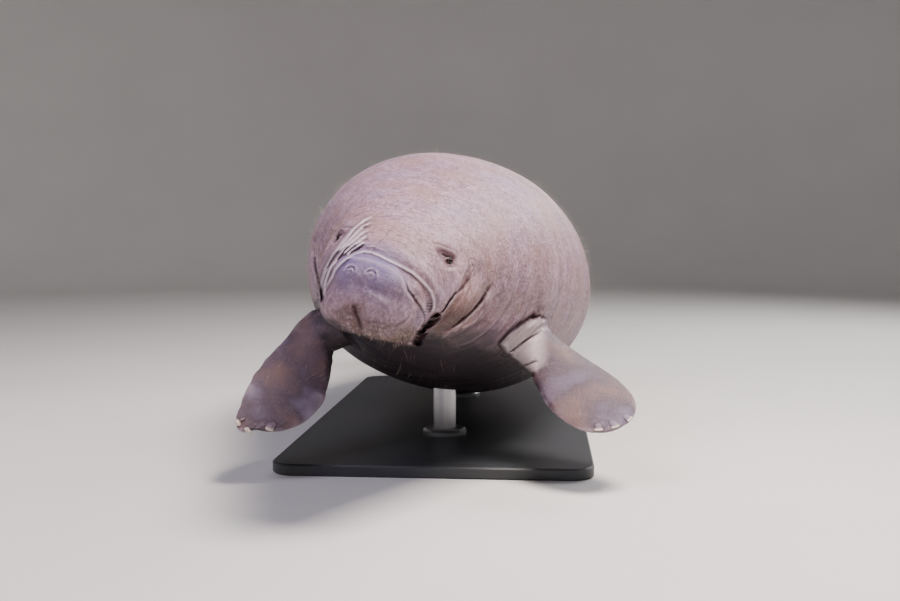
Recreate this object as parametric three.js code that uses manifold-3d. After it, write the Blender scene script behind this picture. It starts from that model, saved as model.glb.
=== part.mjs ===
// A West Indian manatee, life size, gliding and banked a little to its left, on a plain display stand.
// Millimetres, +Z up. The snout points along -Y and the tail along +Y, so +X is the animal's left.
// The origin is the middle of the underside of the stand's base plate.
import * as THREE from "three";
import { mergeVertices } from "three/addons/utils/BufferGeometryUtils.js";
import Module from "manifold-3d";

// Driving dimensions
const BODY_LENGTH = 2900; // tip of the snout to the tip of the tail paddle, along the spine
const SPINE_HEIGHT = 420; // height of the spine over the middle of the base
const BALANCE_STATION = 1240; // distance from the snout that stands over the middle of the base
const BANK = 10; // roll of the whole animal to its left, in degrees
const TOUCH_GAP = 0.3; // gap between two pieces that touch
const HEAD_SEGMENTS = 80; // faces round a ring of the head
const BODY_SEGMENTS = HEAD_SEGMENTS / 2; // faces round a ring of the body

// Where the body is parted, as distances from the snout along the spine
const HEAD_END = 335;
const NECK_END = 540;
const TORSO_END = 1850;
const STOCK_END = 2230;

const EYE_STATION = 200;
const EYE_RADIUS = 10;

const degrees = (angle) => (angle * Math.PI) / 180;
const clamp01 = (x) => Math.min(1, Math.max(0, x));
const smoothStep = (x) => clamp01(x) ** 2 * (3 - 2 * clamp01(x));
const bump = (distance, width) => Math.exp(-((distance / width) ** 2));
const signedPower = (x, power) => Math.sign(x) * Math.abs(x) ** power;

// A smooth curve through named stations: each has its place and some values.
function curveThrough(stations, place, value) {
  const slopes = stations.map((station, i) => {
    const before = stations[Math.max(0, i - 1)];
    const after = stations[Math.min(stations.length - 1, i + 1)];
    return (after[value] - before[value]) / (after[place] - before[place]);
  });
  return (at) => {
    const last = stations.length - 1;
    let i = 0;
    while (i < last - 1 && at > stations[i + 1][place]) i++;
    const a = stations[i];
    const b = stations[i + 1];
    const span = b[place] - a[place];
    const t = clamp01((at - a[place]) / span);
    const t2 = t * t;
    const t3 = t2 * t;
    return (
      a[value] * (2 * t3 - 3 * t2 + 1) +
      slopes[i] * span * (t3 - 2 * t2 + t) +
      b[value] * (3 * t2 - 2 * t3) +
      slopes[i + 1] * span * (t3 - t2)
    );
  };
}

// The trunk's girth: half width, height over the spine, depth under it, how full the flanks are,
// and how much wider it is low down than high up
const GIRTH = [
  { s: 0, side: 86, top: 62, under: 80, edge: 2.35, jowl: 0.2 },
  { s: 60, side: 91, top: 73, under: 93, edge: 2.35, jowl: 0.2 },
  { s: 110, side: 108, top: 82, under: 105, edge: 2.25, jowl: 0.17 },
  { s: 160, side: 126, top: 94, under: 119, edge: 2.15, jowl: 0.13 },
  { s: 210, side: 143, top: 109, under: 135, edge: 2.1, jowl: 0.1 },
  { s: 270, side: 164, top: 130, under: 153, edge: 2.05, jowl: 0.07 },
  { s: 340, side: 190, top: 155, under: 174, edge: 2.05, jowl: 0.04 },
  { s: 430, side: 226, top: 188, under: 204, edge: 2.05, jowl: 0.02 },
  { s: 540, side: 270, top: 226, under: 238, edge: 2.05, jowl: 0 },
  { s: 680, side: 318, top: 270, under: 272, edge: 2.05, jowl: 0 },
  { s: 860, side: 364, top: 306, under: 302, edge: 2.05, jowl: 0 },
  { s: 1080, side: 392, top: 324, under: 320, edge: 2.05, jowl: 0 },
  { s: 1300, side: 392, top: 318, under: 318, edge: 2.05, jowl: 0 },
  { s: 1520, side: 360, top: 286, under: 288, edge: 2, jowl: 0 },
  { s: 1740, side: 298, top: 234, under: 232, edge: 2, jowl: 0 },
  { s: 1930, side: 228, top: 176, under: 168, edge: 1.95, jowl: 0 },
  { s: 2090, side: 170, top: 128, under: 120, edge: 1.9, jowl: 0 },
  { s: 2200, side: 142, top: 98, under: 93, edge: 1.85, jowl: 0 },
  { s: 2290, side: 156, top: 77, under: 75, edge: 1.75, jowl: 0 },
  { s: 2400, side: 224, top: 58, under: 57, edge: 1.6, jowl: 0 },
  { s: 2520, side: 292, top: 45, under: 44, edge: 1.5, jowl: 0 },
  { s: 2640, side: 318, top: 35, under: 34, edge: 1.45, jowl: 0 },
  { s: 2760, side: 318, top: 26, under: 25, edge: 1.45, jowl: 0 },
  { s: 2900, side: 318, top: 15, under: 14, edge: 1.45, jowl: 0 },
];
const sideAt = curveThrough(GIRTH, "s", "side");
const topAt = curveThrough(GIRTH, "s", "top");
const underAt = curveThrough(GIRTH, "s", "under");
const edgeAt = curveThrough(GIRTH, "s", "edge");
const jowlAt = curveThrough(GIRTH, "s", "jowl");

// How the spine bends: the snout droops and turns a little to the animal's right, the tail sinks a little
const BEND = [
  { s: 0, turn: 14, climb: 17 },
  { s: 60, turn: 12.5, climb: 13.5 },
  { s: 130, turn: 9.5, climb: 10 },
  { s: 200, turn: 7.8, climb: 7 },
  { s: 300, turn: 7.5, climb: 2.5 },
  { s: 480, turn: 6, climb: -2.5 },
  { s: 700, turn: 1.5, climb: -5.5 },
  { s: 1000, turn: 0, climb: -6.5 },
  { s: 1500, turn: 0, climb: -6.5 },
  { s: 1900, turn: 0, climb: -5 },
  { s: 2300, turn: -1, climb: -2 },
  { s: 2600, turn: -2, climb: 1 },
  { s: 2900, turn: -2, climb: 4 },
];
const turnAt = curveThrough(BEND, "s", "turn");
const climbAt = curveThrough(BEND, "s", "climb");

// The spine as short steps, each with its place and the three directions of its ring
function frameAt(s) {
  const turn = degrees(turnAt(s));
  const climb = degrees(climbAt(s));
  const along = new THREE.Vector3(
    Math.sin(turn) * Math.cos(climb),
    Math.cos(turn) * Math.cos(climb),
    Math.sin(climb),
  );
  const level = new THREE.Vector3(Math.cos(turn), -Math.sin(turn), 0);
  const upright = level.clone().cross(along);
  const roll = degrees(BANK);
  const left = level.clone().multiplyScalar(Math.cos(roll)).addScaledVector(upright, -Math.sin(roll));
  const up = upright.multiplyScalar(Math.cos(roll)).addScaledVector(level, Math.sin(roll));
  return { along, left, up };
}
const SPINE_STEP = 5;
function makeSpine() {
  const steps = [];
  const place = new THREE.Vector3(0, 0, 0);
  for (let s = 0; s <= BODY_LENGTH; s += SPINE_STEP) {
    const frame = frameAt(s);
    steps.push({ place: place.clone(), ...frame });
    place.addScaledVector(frameAt(s + SPINE_STEP / 2).along, SPINE_STEP);
  }
  const balance = steps[BALANCE_STATION / SPINE_STEP].place.clone();
  const shift = new THREE.Vector3(0, 0, SPINE_HEIGHT).sub(balance);
  for (const step of steps) step.place.add(shift);
  return steps;
}
const spine = makeSpine();

// A point beside the spine: s along it, x to the animal's left, z up
function posed(s, x, z) {
  const at = Math.min(Math.max(s / SPINE_STEP, 0), spine.length - 1.001);
  const i = Math.floor(at);
  const t = at - i;
  const a = spine[i];
  const b = spine[i + 1];
  const mix = (key) => a[key].clone().lerp(b[key], t);
  return mix("place").addScaledVector(mix("left"), x).addScaledVector(mix("up"), z);
}

// The blunt snout and the round end of the paddle close the girth
const SNOUT_DEPTH = 66;
const SNOUT_BLUNT = 2.2;
const PADDLE_WIDEST = 2660;
const PADDLE_ROUND = 2.15;
const PADDLE_RIM = 7; // half thickness of the paddle's rim at its tip

function snoutShare(s) {
  if (s >= SNOUT_DEPTH) return 1;
  return (1 - (1 - s / SNOUT_DEPTH) ** SNOUT_BLUNT) ** (1 / SNOUT_BLUNT);
}
function paddleShare(s) {
  if (s <= PADDLE_WIDEST) return 1;
  const t = (s - PADDLE_WIDEST) / (BODY_LENGTH - PADDLE_WIDEST);
  return (1 - Math.min(t, 1) ** PADDLE_ROUND) ** (1 / PADDLE_ROUND);
}

// The smooth trunk without its folds: a point of the ring at s, at an angle from the left side
function trunkPoint(s, angle) {
  const width = sideAt(s) * snoutShare(s) * paddleShare(s);
  const rim = s > PADDLE_WIDEST ? PADDLE_RIM : 0;
  const height = Math.sin(angle) >= 0 ? topAt(s) : underAt(s);
  const tall = (height - rim) * paddleShare(s) ** 0.5 + rim * Math.min(1, paddleShare(s) * 3);
  const edge = edgeAt(s);
  const spread = 1 - jowlAt(s) * Math.sin(angle);
  const x = width * spread * signedPower(Math.cos(angle), 2 / Math.max(edge, 2));
  const z = tall * snoutShare(s) * signedPower(Math.sin(angle), 2 / edge);
  return { x, z };
}

// Distance from a point to a line of a few points, all as { s, x, z }, and the share of the way along it
function nearLine(point, line) {
  let best = { gap: Infinity, share: 0 };
  for (let i = 0; i < line.length - 1; i++) {
    const a = line[i];
    const b = line[i + 1];
    const d = { s: b.s - a.s, x: b.x - a.x, z: b.z - a.z };
    const along = (point.s - a.s) * d.s + (point.x - a.x) * d.x + (point.z - a.z) * d.z;
    const t = clamp01(along / (d.s ** 2 + d.x ** 2 + d.z ** 2));
    const gap = Math.hypot(point.s - a.s - t * d.s, point.x - a.x - t * d.x, point.z - a.z - t * d.z);
    if (gap < best.gap) best = { gap, share: (i + t) / (line.length - 1) };
  }
  return best;
}
const mirrored = (line) => line.map((p) => ({ ...p, x: -p.x }));

// A crease along a line: a narrow valley that fades at both ends, between two low swells
function crease(point, line, depth, width) {
  const { gap, share } = nearLine(point, line);
  if (gap > 5 * width) return 0;
  const fade = smoothStep(share / 0.15) * smoothStep((1 - share) / 0.15);
  return fade * depth * (0.45 * bump(gap - 2 * width, 1.3 * width) - bump(gap, width));
}
function eachSide(point, shape) {
  return shape({ ...point, x: Math.abs(point.x) });
}

// The places of the head's features, on the animal's left side; the right side is their mirror
const EYE = { s: EYE_STATION, x: 118, z: 50 };
const NOSTRIL = { s: 14, x: 21, z: 44 };
const LIP_LOBE = { s: 24, x: 54, z: -50 };
const CHIN = { s: 112, x: 0, z: -106 };
const BROW = { s: 205, x: 98, z: 84 };
const CHEEK = { s: 232, x: 134, z: -52 };
const MOUTH_LINE = [
  { s: 66, x: 0, z: -92 },
  { s: 72, x: 42, z: -92 },
  { s: 92, x: 78, z: -88 },
  { s: 120, x: 101, z: -80 },
  { s: 138, x: 112, z: -70 },
];
const LIP_CLEFT = [
  { s: 2, x: 0, z: -8 },
  { s: 8, x: 0, z: -36 },
  { s: 24, x: 0, z: -64 },
  { s: 56, x: 0, z: -90 },
];
const NOSE_CREASE = [
  { s: 4, x: -30, z: 20 },
  { s: 4, x: 0, z: 24 },
  { s: 6, x: 30, z: 20 },
  { s: 12, x: 60, z: 11 },
  { s: 28, x: 90, z: -4 },
];
const PAD_EDGE = [
  { s: 54, x: 50, z: 58 },
  { s: 60, x: 72, z: 36 },
  { s: 66, x: 86, z: 5 },
  { s: 80, x: 106, z: -41 },
  { s: 90, x: 102, z: -72 },
];
const MUZZLE_RING = [
  { s: 62, x: -40, z: 66 },
  { s: 60, x: 0, z: 73 },
  { s: 62, x: 40, z: 66 },
  { s: 74, x: 76, z: 44 },
  { s: 92, x: 97, z: 20 },
  { s: 108, x: 112, z: -20 },
  { s: 118, x: 116, z: -52 },
  { s: 128, x: 108, z: -74 },
];
const CHEEK_FOLDS = [
  [
    { s: 266, x: 158, z: 30 },
    { s: 232, x: 149, z: -9 },
    { s: 196, x: 128, z: -60 },
    { s: 164, x: 106, z: -92 },
    { s: 140, x: 86, z: -102 },
  ],
  [
    { s: 334, x: 188, z: -16 },
    { s: 304, x: 168, z: -74 },
    { s: 268, x: 128, z: -112 },
    { s: 220, x: 88, z: -124 },
    { s: 184, x: 56, z: -122 },
  ],
];
const THROAT_FOLD = [
  { s: 372, x: 196, z: -50 },
  { s: 352, x: 150, z: -138 },
  { s: 318, x: 80, z: -164 },
  { s: 300, x: 0, z: -168 },
];
const NECK_FOLDS = [
  [
    { s: 450, x: 222, z: 40 },
    { s: 440, x: 214, z: -60 },
    { s: 424, x: 160, z: -150 },
    { s: 410, x: 60, z: -190 },
  ],
  [
    { s: 560, x: 268, z: 66 },
    { s: 560, x: 266, z: -40 },
    { s: 548, x: 226, z: -140 },
  ],
];

// How far the skin stands out from the smooth trunk, in millimetres
function relief(point) {
  let out = 0;
  const near = (place, width) =>
    bump(Math.hypot(point.s - place.s, Math.abs(point.x) - place.x, point.z - place.z), width);
  out += 15 * near(LIP_LOBE, 38);
  out += 9 * near(CHIN, 36);
  out += 6 * near(BROW, 34);
  out += 7 * near(CHEEK, 44);
  out -= 7 * near(EYE, 17);
  out -= 5 * near(NOSTRIL, 7.5);
  out += 3 * near({ ...NOSTRIL, z: NOSTRIL.z + 10 }, 7);
  out += eachSide(point, (p) => crease(p, MOUTH_LINE, 13, 10));
  out += eachSide(point, (p) => crease(p, LIP_CLEFT, 10, 8));
  out += eachSide(point, (p) => crease(p, NOSE_CREASE, 5, 12));
  out += eachSide(point, (p) => crease(p, PAD_EDGE, 5, 11));
  out += eachSide(point, (p) => crease(p, MUZZLE_RING, 8, 12));
  for (const fold of CHEEK_FOLDS) out += eachSide(point, (p) => crease(p, fold, 12, 14));
  out += eachSide(point, (p) => crease(p, THROAT_FOLD, 8, 20));
  for (const fold of NECK_FOLDS) out += eachSide(point, (p) => crease(p, fold, 7, 26));
  return out;
}

// A point of the skin, with its folds, and standing out by grow on every side
function skinPoint(s, angle, grow) {
  const { x, z } = trunkPoint(s, angle);
  const small = 0.01;
  const ahead = trunkPoint(Math.min(s + 1, BODY_LENGTH), angle);
  const behind = trunkPoint(Math.max(s - 1, 0), angle);
  const round = trunkPoint(s, angle + small);
  const back = trunkPoint(s, angle - small);
  const lengthwise = new THREE.Vector3(ahead.x - behind.x, 2, ahead.z - behind.z);
  const crosswise = new THREE.Vector3(round.x - back.x, 0, round.z - back.z);
  const normal = lengthwise.cross(crosswise).normalize();
  if (normal.x * x + normal.z * z < 0) normal.negate();
  const out = relief({ s, x, z }) + grow;
  return posed(s + normal.y * out, x + normal.x * out, z + normal.z * out);
}

// The places of the rings, close together where the form is fine
function ringPlaces() {
  const places = [];
  const FRONT_RINGS = 9;
  for (let i = 1; i <= FRONT_RINGS; i++) {
    const t = i / (FRONT_RINGS + 1);
    places.push(SNOUT_DEPTH * (0.35 * t * t + 0.65 * t ** 2.6));
  }
  const spread = (from, to, count) => {
    for (let i = 0; i < count; i++) places.push(from + ((to - from) * i) / count);
  };
  spread(SNOUT_DEPTH * 0.93, 132, 9);
  spread(132, 180, 5);
  spread(180, 222, 5);
  spread(222, HEAD_END, 9);
  spread(HEAD_END, NECK_END, 6);
  spread(NECK_END, TORSO_END, 23);
  spread(TORSO_END, STOCK_END, 7);
  spread(STOCK_END, PADDLE_WIDEST, 8);
  const TIP_RINGS = 8;
  for (let i = 0; i < TIP_RINGS; i++) {
    const t = Math.sin((i / TIP_RINGS) * (Math.PI / 2));
    places.push(PADDLE_WIDEST + (BODY_LENGTH - PADDLE_WIDEST) * t);
  }
  places.push(BODY_LENGTH);
  return places;
}
const RINGS = ringPlaces();
const isHead = (s) => s < HEAD_END - 1e-6;

// Joins rings of points to a closed mesh, with a fan or a point at each end, its faces outwards.
// A ring may have half as many points as the one before it.
function closedBetween(rings) {
  const vertices = rings.flat();
  const faces = [];
  const starts = [];
  let count = 0;
  for (const ring of rings) {
    starts.push(count);
    count += ring.length;
  }
  const band = (r) => {
    const a = rings[r].length;
    const b = rings[r + 1].length;
    const at = (ring, i) => starts[ring] + ((i + rings[ring].length) % rings[ring].length);
    if (a === 1 || b === 1) {
      for (let i = 0; i < Math.max(a, b); i++)
        faces.push(a === 1 ? [at(r, 0), at(r + 1, i), at(r + 1, i + 1)] : [at(r, i), at(r + 1, 0), at(r, i + 1)]);
    } else if (a === b) {
      for (let i = 0; i < a; i++) {
        const [p, q, u, v] = [at(r, i), at(r, i + 1), at(r + 1, i + 1), at(r + 1, i)];
        if (vertices[p].distanceTo(vertices[u]) <= vertices[q].distanceTo(vertices[v]) + 1e-6)
          faces.push([p, u, q], [p, v, u]);
        else faces.push([p, v, q], [q, v, u]);
      }
    } else {
      for (let i = 0; i < b; i++) {
        faces.push([at(r, 2 * i), at(r + 1, i), at(r, 2 * i + 1)]);
        faces.push([at(r, 2 * i + 1), at(r + 1, i), at(r + 1, i + 1)]);
        faces.push([at(r, 2 * i + 1), at(r + 1, i + 1), at(r, 2 * i + 2)]);
      }
    }
  };
  for (let r = 0; r < rings.length - 1; r++) band(r);
  const cap = (r, outward) => {
    const ring = rings[r];
    if (ring.length === 1) return;
    const middle = new THREE.Vector3();
    for (const p of ring) middle.addScaledVector(p, 1 / ring.length);
    vertices.push(middle);
    for (let i = 0; i < ring.length; i++) {
      const a = starts[r] + i;
      const b = starts[r] + ((i + 1) % ring.length);
      faces.push(outward ? [vertices.length - 1, b, a] : [vertices.length - 1, a, b]);
    }
  };
  cap(0, false);
  cap(rings.length - 1, true);
  let volume = 0;
  for (const [a, b, c] of faces) volume += vertices[a].dot(vertices[b].clone().cross(vertices[c]));
  if (volume < 0) for (const face of faces) face.reverse();
  const geometry = new THREE.BufferGeometry();
  geometry.setAttribute(
    "position",
    new THREE.Float32BufferAttribute(vertices.flatMap((p) => [p.x, p.y, p.z]), 3),
  );
  geometry.setIndex(faces.flat());
  return geometry;
}

// A length of the body from one station to another; grow swells it on every side
function bodyLength(from, to, grow = 0) {
  const places = RINGS.filter((s) => s > from + 1e-6 && s < to - 1e-6);
  if (from > 0) places.unshift(from);
  if (to < BODY_LENGTH) places.push(to);
  const ring = (s) => {
    const segments = isHead(s) ? HEAD_SEGMENTS : BODY_SEGMENTS;
    const points = [];
    for (let i = 0; i < segments; i++) points.push(skinPoint(s, (2 * Math.PI * i) / segments, grow));
    return points;
  };
  const rings = places.map(ring);
  if (from === 0) rings.unshift([posed(0, 0, 0).addScaledVector(spine[0].along, -grow)]);
  if (to === BODY_LENGTH) rings.push([posed(BODY_LENGTH, 0, 0).addScaledVector(spine.at(-1).along, grow)]);
  if (from > 0) for (const p of rings[0]) p.addScaledVector(frameAt(from).along, TOUCH_GAP / 2 - grow);
  if (to < BODY_LENGTH) for (const p of rings.at(-1)) p.addScaledVector(frameAt(to).along, grow - TOUCH_GAP / 2);
  return closedBetween(rings);
}

// Joining and cutting of closed meshes
const wasm = await Module();
wasm.setup();

function solidOf(geometry) {
  const bare = geometry.clone();
  bare.deleteAttribute("normal");
  bare.deleteAttribute("uv");
  const merged = mergeVertices(bare, 1e-4);
  const solid = new wasm.Manifold(
    new wasm.Mesh({
      numProp: 3,
      vertProperties: merged.attributes.position.array,
      triVerts: new Uint32Array(merged.index.array),
    }),
  );
  return solid;
}
function geometryOf(solid) {
  const mesh = solid.getMesh();
  const geometry = new THREE.BufferGeometry();
  geometry.setAttribute("position", new THREE.BufferAttribute(mesh.vertProperties, 3));
  geometry.setIndex(new THREE.BufferAttribute(mesh.triVerts, 1));
  return geometry;
}
function largest(solid) {
  return solid.decompose().reduce((a, b) => (b.volume() > a.volume() ? b : a));
}

// Materials
const skinMaterial = new THREE.MeshStandardMaterial({ color: 0x8a7b80, roughness: 0.55, metalness: 0 });
const eyeMaterial = new THREE.MeshStandardMaterial({ color: 0x1d1614, roughness: 0.1, metalness: 0 });
const steelMaterial = new THREE.MeshStandardMaterial({ color: 0x3a3d40, roughness: 0.45, metalness: 0.6 });

const manatee = new THREE.Group();
function addNode(name, geometry, material) {
  const mesh = new THREE.Mesh(geometry, material);
  mesh.name = name;
  manatee.add(mesh);
}

// The body, parted where its regions meet
addNode("head", bodyLength(0, HEAD_END), skinMaterial);
addNode("neck", bodyLength(HEAD_END, NECK_END), skinMaterial);
addNode("torso", bodyLength(NECK_END, TORSO_END), skinMaterial);
addNode("tail_stock", bodyLength(TORSO_END, STOCK_END), skinMaterial);
addNode("tail_paddle", bodyLength(STOCK_END, BODY_LENGTH), skinMaterial);
const bodyClearance = largest(solidOf(bodyLength(0, BODY_LENGTH, TOUCH_GAP)));

// Each eye is a ball cut to sit on the floor of its socket, ringed by its two lids
function eyeAndLids(side, name) {
  const ringAngle = Math.atan2(EYE.z / topAt(EYE.s), EYE.x / sideAt(EYE.s));
  const surface = skinPoint(EYE.s, side > 0 ? ringAngle : Math.PI - ringAngle, 0);
  const outer = skinPoint(EYE.s, side > 0 ? ringAngle : Math.PI - ringAngle, 10);
  const outward = outer.clone().sub(surface).normalize();
  const centre = surface.clone().addScaledVector(outward, -EYE_RADIUS * 0.35);
  const ball = new THREE.SphereGeometry(EYE_RADIUS, 16, 11).translate(centre.x, centre.y, centre.z);
  const eye = largest(solidOf(ball).subtract(bodyClearance));
  addNode("eye_" + name, geometryOf(eye), eyeMaterial);

  const LID_THICKNESS = 3.5;
  const SLIT = 0.62; // height of the opening between the lids against its width
  const lids = new THREE.TorusGeometry(EYE_RADIUS - 0.6, LID_THICKNESS, 7, 18);
  lids.scale(1.12, SLIT + 0.2, 1);
  const towards = new THREE.Matrix4().lookAt(outward, new THREE.Vector3(), frameAt(EYE.s).up);
  lids.applyMatrix4(towards);
  const seat = surface.clone().addScaledVector(outward, 1.5);
  lids.translate(seat.x, seat.y, seat.z);
  const clearBall = new THREE.SphereGeometry(EYE_RADIUS + TOUCH_GAP, 20, 14);
  clearBall.translate(centre.x, centre.y, centre.z);
  const rim = largest(solidOf(lids).subtract(bodyClearance).subtract(solidOf(clearBall)));
  addNode("eyelids_" + name, geometryOf(rim), skinMaterial);
}
eyeAndLids(1, "left");
eyeAndLids(-1, "right");

// The flippers: blade widths ahead of and behind the arm's line, and half the thickness
const FLIPPER_LENGTH = 398; // from the shoulder joint, inside the body, to the tip
const FLIPPER = [
  { t: 0, lead: 62, trail: 58, thick: 44 },
  { t: 0.2, lead: 59, trail: 57, thick: 40 },
  { t: 0.38, lead: 60, trail: 66, thick: 33 },
  { t: 0.52, lead: 69, trail: 82, thick: 26 },
  { t: 0.66, lead: 80, trail: 94, thick: 20 },
  { t: 0.78, lead: 86, trail: 96, thick: 16 },
  { t: 0.9, lead: 86, trail: 92, thick: 12 },
  { t: 1, lead: 86, trail: 88, thick: 9 },
];
const leadAt = curveThrough(FLIPPER, "t", "lead");
const trailAt = curveThrough(FLIPPER, "t", "trail");
const thickAt = curveThrough(FLIPPER, "t", "thick");
const FLIPPER_SEGMENTS = 24;
const FLIPPER_RINGS = 16;
const FLIPPER_ROUND_FROM = 0.74; // where the blade starts to round off to its tip
const NAIL = { length: 26, width: 17, height: 5 };

// A flipper hangs from the shoulder. Its directions are shares out from the body, forward and down:
// the upper arm, the blade, and the blade's trailing edge
function makeFlipper(side, name, pose) {
  const shoulder = posed(pose.station, side * pose.beside, -pose.below);
  const direction = (out, forward, down) => new THREE.Vector3(side * out, -forward, -down).normalize();
  const upper = direction(...pose.upper);
  const lower = direction(...pose.lower);
  const edgeGoal = direction(...pose.trailing);
  const stepCount = 100;
  const line = [shoulder.clone()];
  const axes = [];
  for (let i = 0; i <= stepCount; i++) {
    const axis = upper.clone().lerp(lower, smoothStep((i / stepCount - 0.15) / 0.5)).normalize();
    axes.push(axis);
    line.push(line.at(-1).clone().addScaledVector(axis, FLIPPER_LENGTH / stepCount));
  }
  const ringAt = (t) => {
    const at = Math.min(stepCount, t * stepCount);
    const i = Math.min(stepCount - 1, Math.floor(at));
    const centre = line[i].clone().lerp(line[i + 1], at - i);
    const axis = axes[i];
    const trailing = edgeGoal.clone().addScaledVector(axis, -edgeGoal.dot(axis)).normalize();
    const outward = trailing.clone().cross(axis).multiplyScalar(-side);
    return { centre, axis, trailing, outward };
  };
  const roundShare = (t) => {
    if (t <= FLIPPER_ROUND_FROM) return 1;
    const u = (t - FLIPPER_ROUND_FROM) / (1 - FLIPPER_ROUND_FROM);
    return (1 - Math.min(1, u) ** 2.4) ** (1 / 2.4);
  };
  const bladePoint = (t, angle) => {
    const { centre, trailing, outward } = ringAt(t);
    const share = roundShare(t);
    const cosine = Math.cos(angle);
    const across = (cosine > 0 ? trailAt(t) : leadAt(t)) * share * cosine;
    const thin = cosine > 0 ? 1 - 0.45 * smoothStep(t / 0.4) * cosine ** 1.5 : 1;
    const rim = 4;
    const thick = (thickAt(t) * thin - rim) * share ** 0.6 + rim * Math.min(1, share * 3);
    const raised = thick * signedPower(Math.sin(angle), 1.15);
    return centre.clone().addScaledVector(trailing, across).addScaledVector(outward, raised);
  };
  const rings = [];
  for (let r = 0; r < FLIPPER_RINGS; r++) {
    const u = r / FLIPPER_RINGS;
    const t = u < 0.6 ? u * (FLIPPER_ROUND_FROM / 0.6)
      : FLIPPER_ROUND_FROM + (1 - FLIPPER_ROUND_FROM) * Math.sin(((u - 0.6) / 0.4) * (Math.PI / 2));
    const ring = [];
    for (let i = 0; i < FLIPPER_SEGMENTS; i++) ring.push(bladePoint(t, (2 * Math.PI * i) / FLIPPER_SEGMENTS));
    rings.push(ring);
  }
  rings.push([ringAt(1).centre]);
  let blade = solidOf(closedBetween(rings));

  // Three flat nails lie on the outer face, just behind the rounded end
  for (const nail of pose.nails) {
    const place = bladePoint(nail.t, nail.angle);
    const { axis, trailing, outward } = ringAt(nail.t);
    const lean = axis.clone().addScaledVector(trailing, nail.lean).normalize();
    const beside = outward.clone().cross(lean).normalize();
    const turned = new THREE.Matrix4().makeBasis(lean, beside, outward);
    const plate = new THREE.SphereGeometry(1, 12, 8);
    plate.scale(NAIL.length / 2, NAIL.width / 2, NAIL.height);
    plate.applyMatrix4(turned).translate(place.x, place.y, place.z);
    blade = blade.add(solidOf(plate));
  }
  const flipper = largest(blade.subtract(bodyClearance));
  addNode("flipper_" + name, geometryOf(flipper), skinMaterial);
}
const NAILS = [
  { t: 0.955, angle: 0.28 * Math.PI, lean: 0.5 },
  { t: 0.975, angle: 0.5 * Math.PI, lean: 0.0 },
  { t: 0.955, angle: 0.7 * Math.PI, lean: -0.4 },
];
makeFlipper(1, "left", {
  station: 650,
  beside: 222,
  below: 112,
  upper: [0.65, 0.5, 0.5],
  lower: [0.47, 0.76, 0.455],
  trailing: [0.8, -0.52, -0.32],
  nails: NAILS,
});
makeFlipper(-1, "right", {
  station: 650,
  beside: 196,
  below: 130,
  upper: [0.38, 0.55, 0.75],
  lower: [0.4, 0.74, 0.55],
  trailing: [0.87, 0.034, -0.489],
  nails: NAILS,
});

// The stand: a flat plate with two rods up to the belly, each with a weld collar at its foot
const BASE = { length: 1500, width: 760, thickness: 28, corner: 60, chamfer: 4 };
const ROD_RADIUS = 30;
const ROD_STATIONS = { front: 900, rear: 1560 };
function standBase() {
  const half = { x: BASE.width / 2 - BASE.chamfer, y: BASE.length / 2 - BASE.chamfer };
  const corner = BASE.corner - BASE.chamfer;
  const outline = new THREE.Shape();
  outline.moveTo(-half.x + corner, -half.y);
  outline.lineTo(half.x - corner, -half.y);
  outline.absarc(half.x - corner, -half.y + corner, corner, -Math.PI / 2, 0);
  outline.lineTo(half.x, half.y - corner);
  outline.absarc(half.x - corner, half.y - corner, corner, 0, Math.PI / 2);
  outline.lineTo(-half.x + corner, half.y);
  outline.absarc(-half.x + corner, half.y - corner, corner, Math.PI / 2, Math.PI);
  outline.lineTo(-half.x, -half.y + corner);
  outline.absarc(-half.x + corner, -half.y + corner, corner, Math.PI, 1.5 * Math.PI);
  const plate = new THREE.ExtrudeGeometry(outline, {
    depth: BASE.thickness - 2 * BASE.chamfer,
    bevelEnabled: true,
    bevelThickness: BASE.chamfer,
    bevelSize: BASE.chamfer,
    bevelSegments: 1,
    curveSegments: 8,
  });
  return plate.translate(0, 0, BASE.chamfer);
}
addNode("stand_base", geometryOf(solidOf(standBase())), steelMaterial);

function standRod(station) {
  const foot = BASE.thickness + TOUCH_GAP;
  const collar = { radius: 58, height: 16 };
  const profile = [
    [0, foot],
    [collar.radius, foot],
    [collar.radius, foot + collar.height * 0.6],
    [collar.radius - 6, foot + collar.height],
    [ROD_RADIUS, foot + collar.height],
    [ROD_RADIUS, SPINE_HEIGHT],
    [0, SPINE_HEIGHT],
  ].map(([r, z]) => new THREE.Vector2(r, z));
  const rod = new THREE.LatheGeometry(profile, 28).rotateX(Math.PI / 2);
  rod.translate(0, station - BALANCE_STATION, 0);
  let solid = solidOf(rod);
  if (solid.volume() < 0) throw new Error("the rod's profile runs the wrong way");
  const pieces = solid.subtract(bodyClearance).decompose();
  const lowest = (piece) => piece.boundingBox().min[2];
  return pieces.reduce((a, b) => (lowest(b) < lowest(a) ? b : a));
}
for (const [name, station] of Object.entries(ROD_STATIONS))
  addNode("stand_rod_" + name, geometryOf(standRod(station)), steelMaterial);

export default manatee;
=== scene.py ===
# A life-size manatee on a display stand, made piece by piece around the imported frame.
import math

import bpy
import numpy as np
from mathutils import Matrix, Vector
from mathutils.bvhtree import BVHTree
from mathutils.kdtree import KDTree


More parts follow.
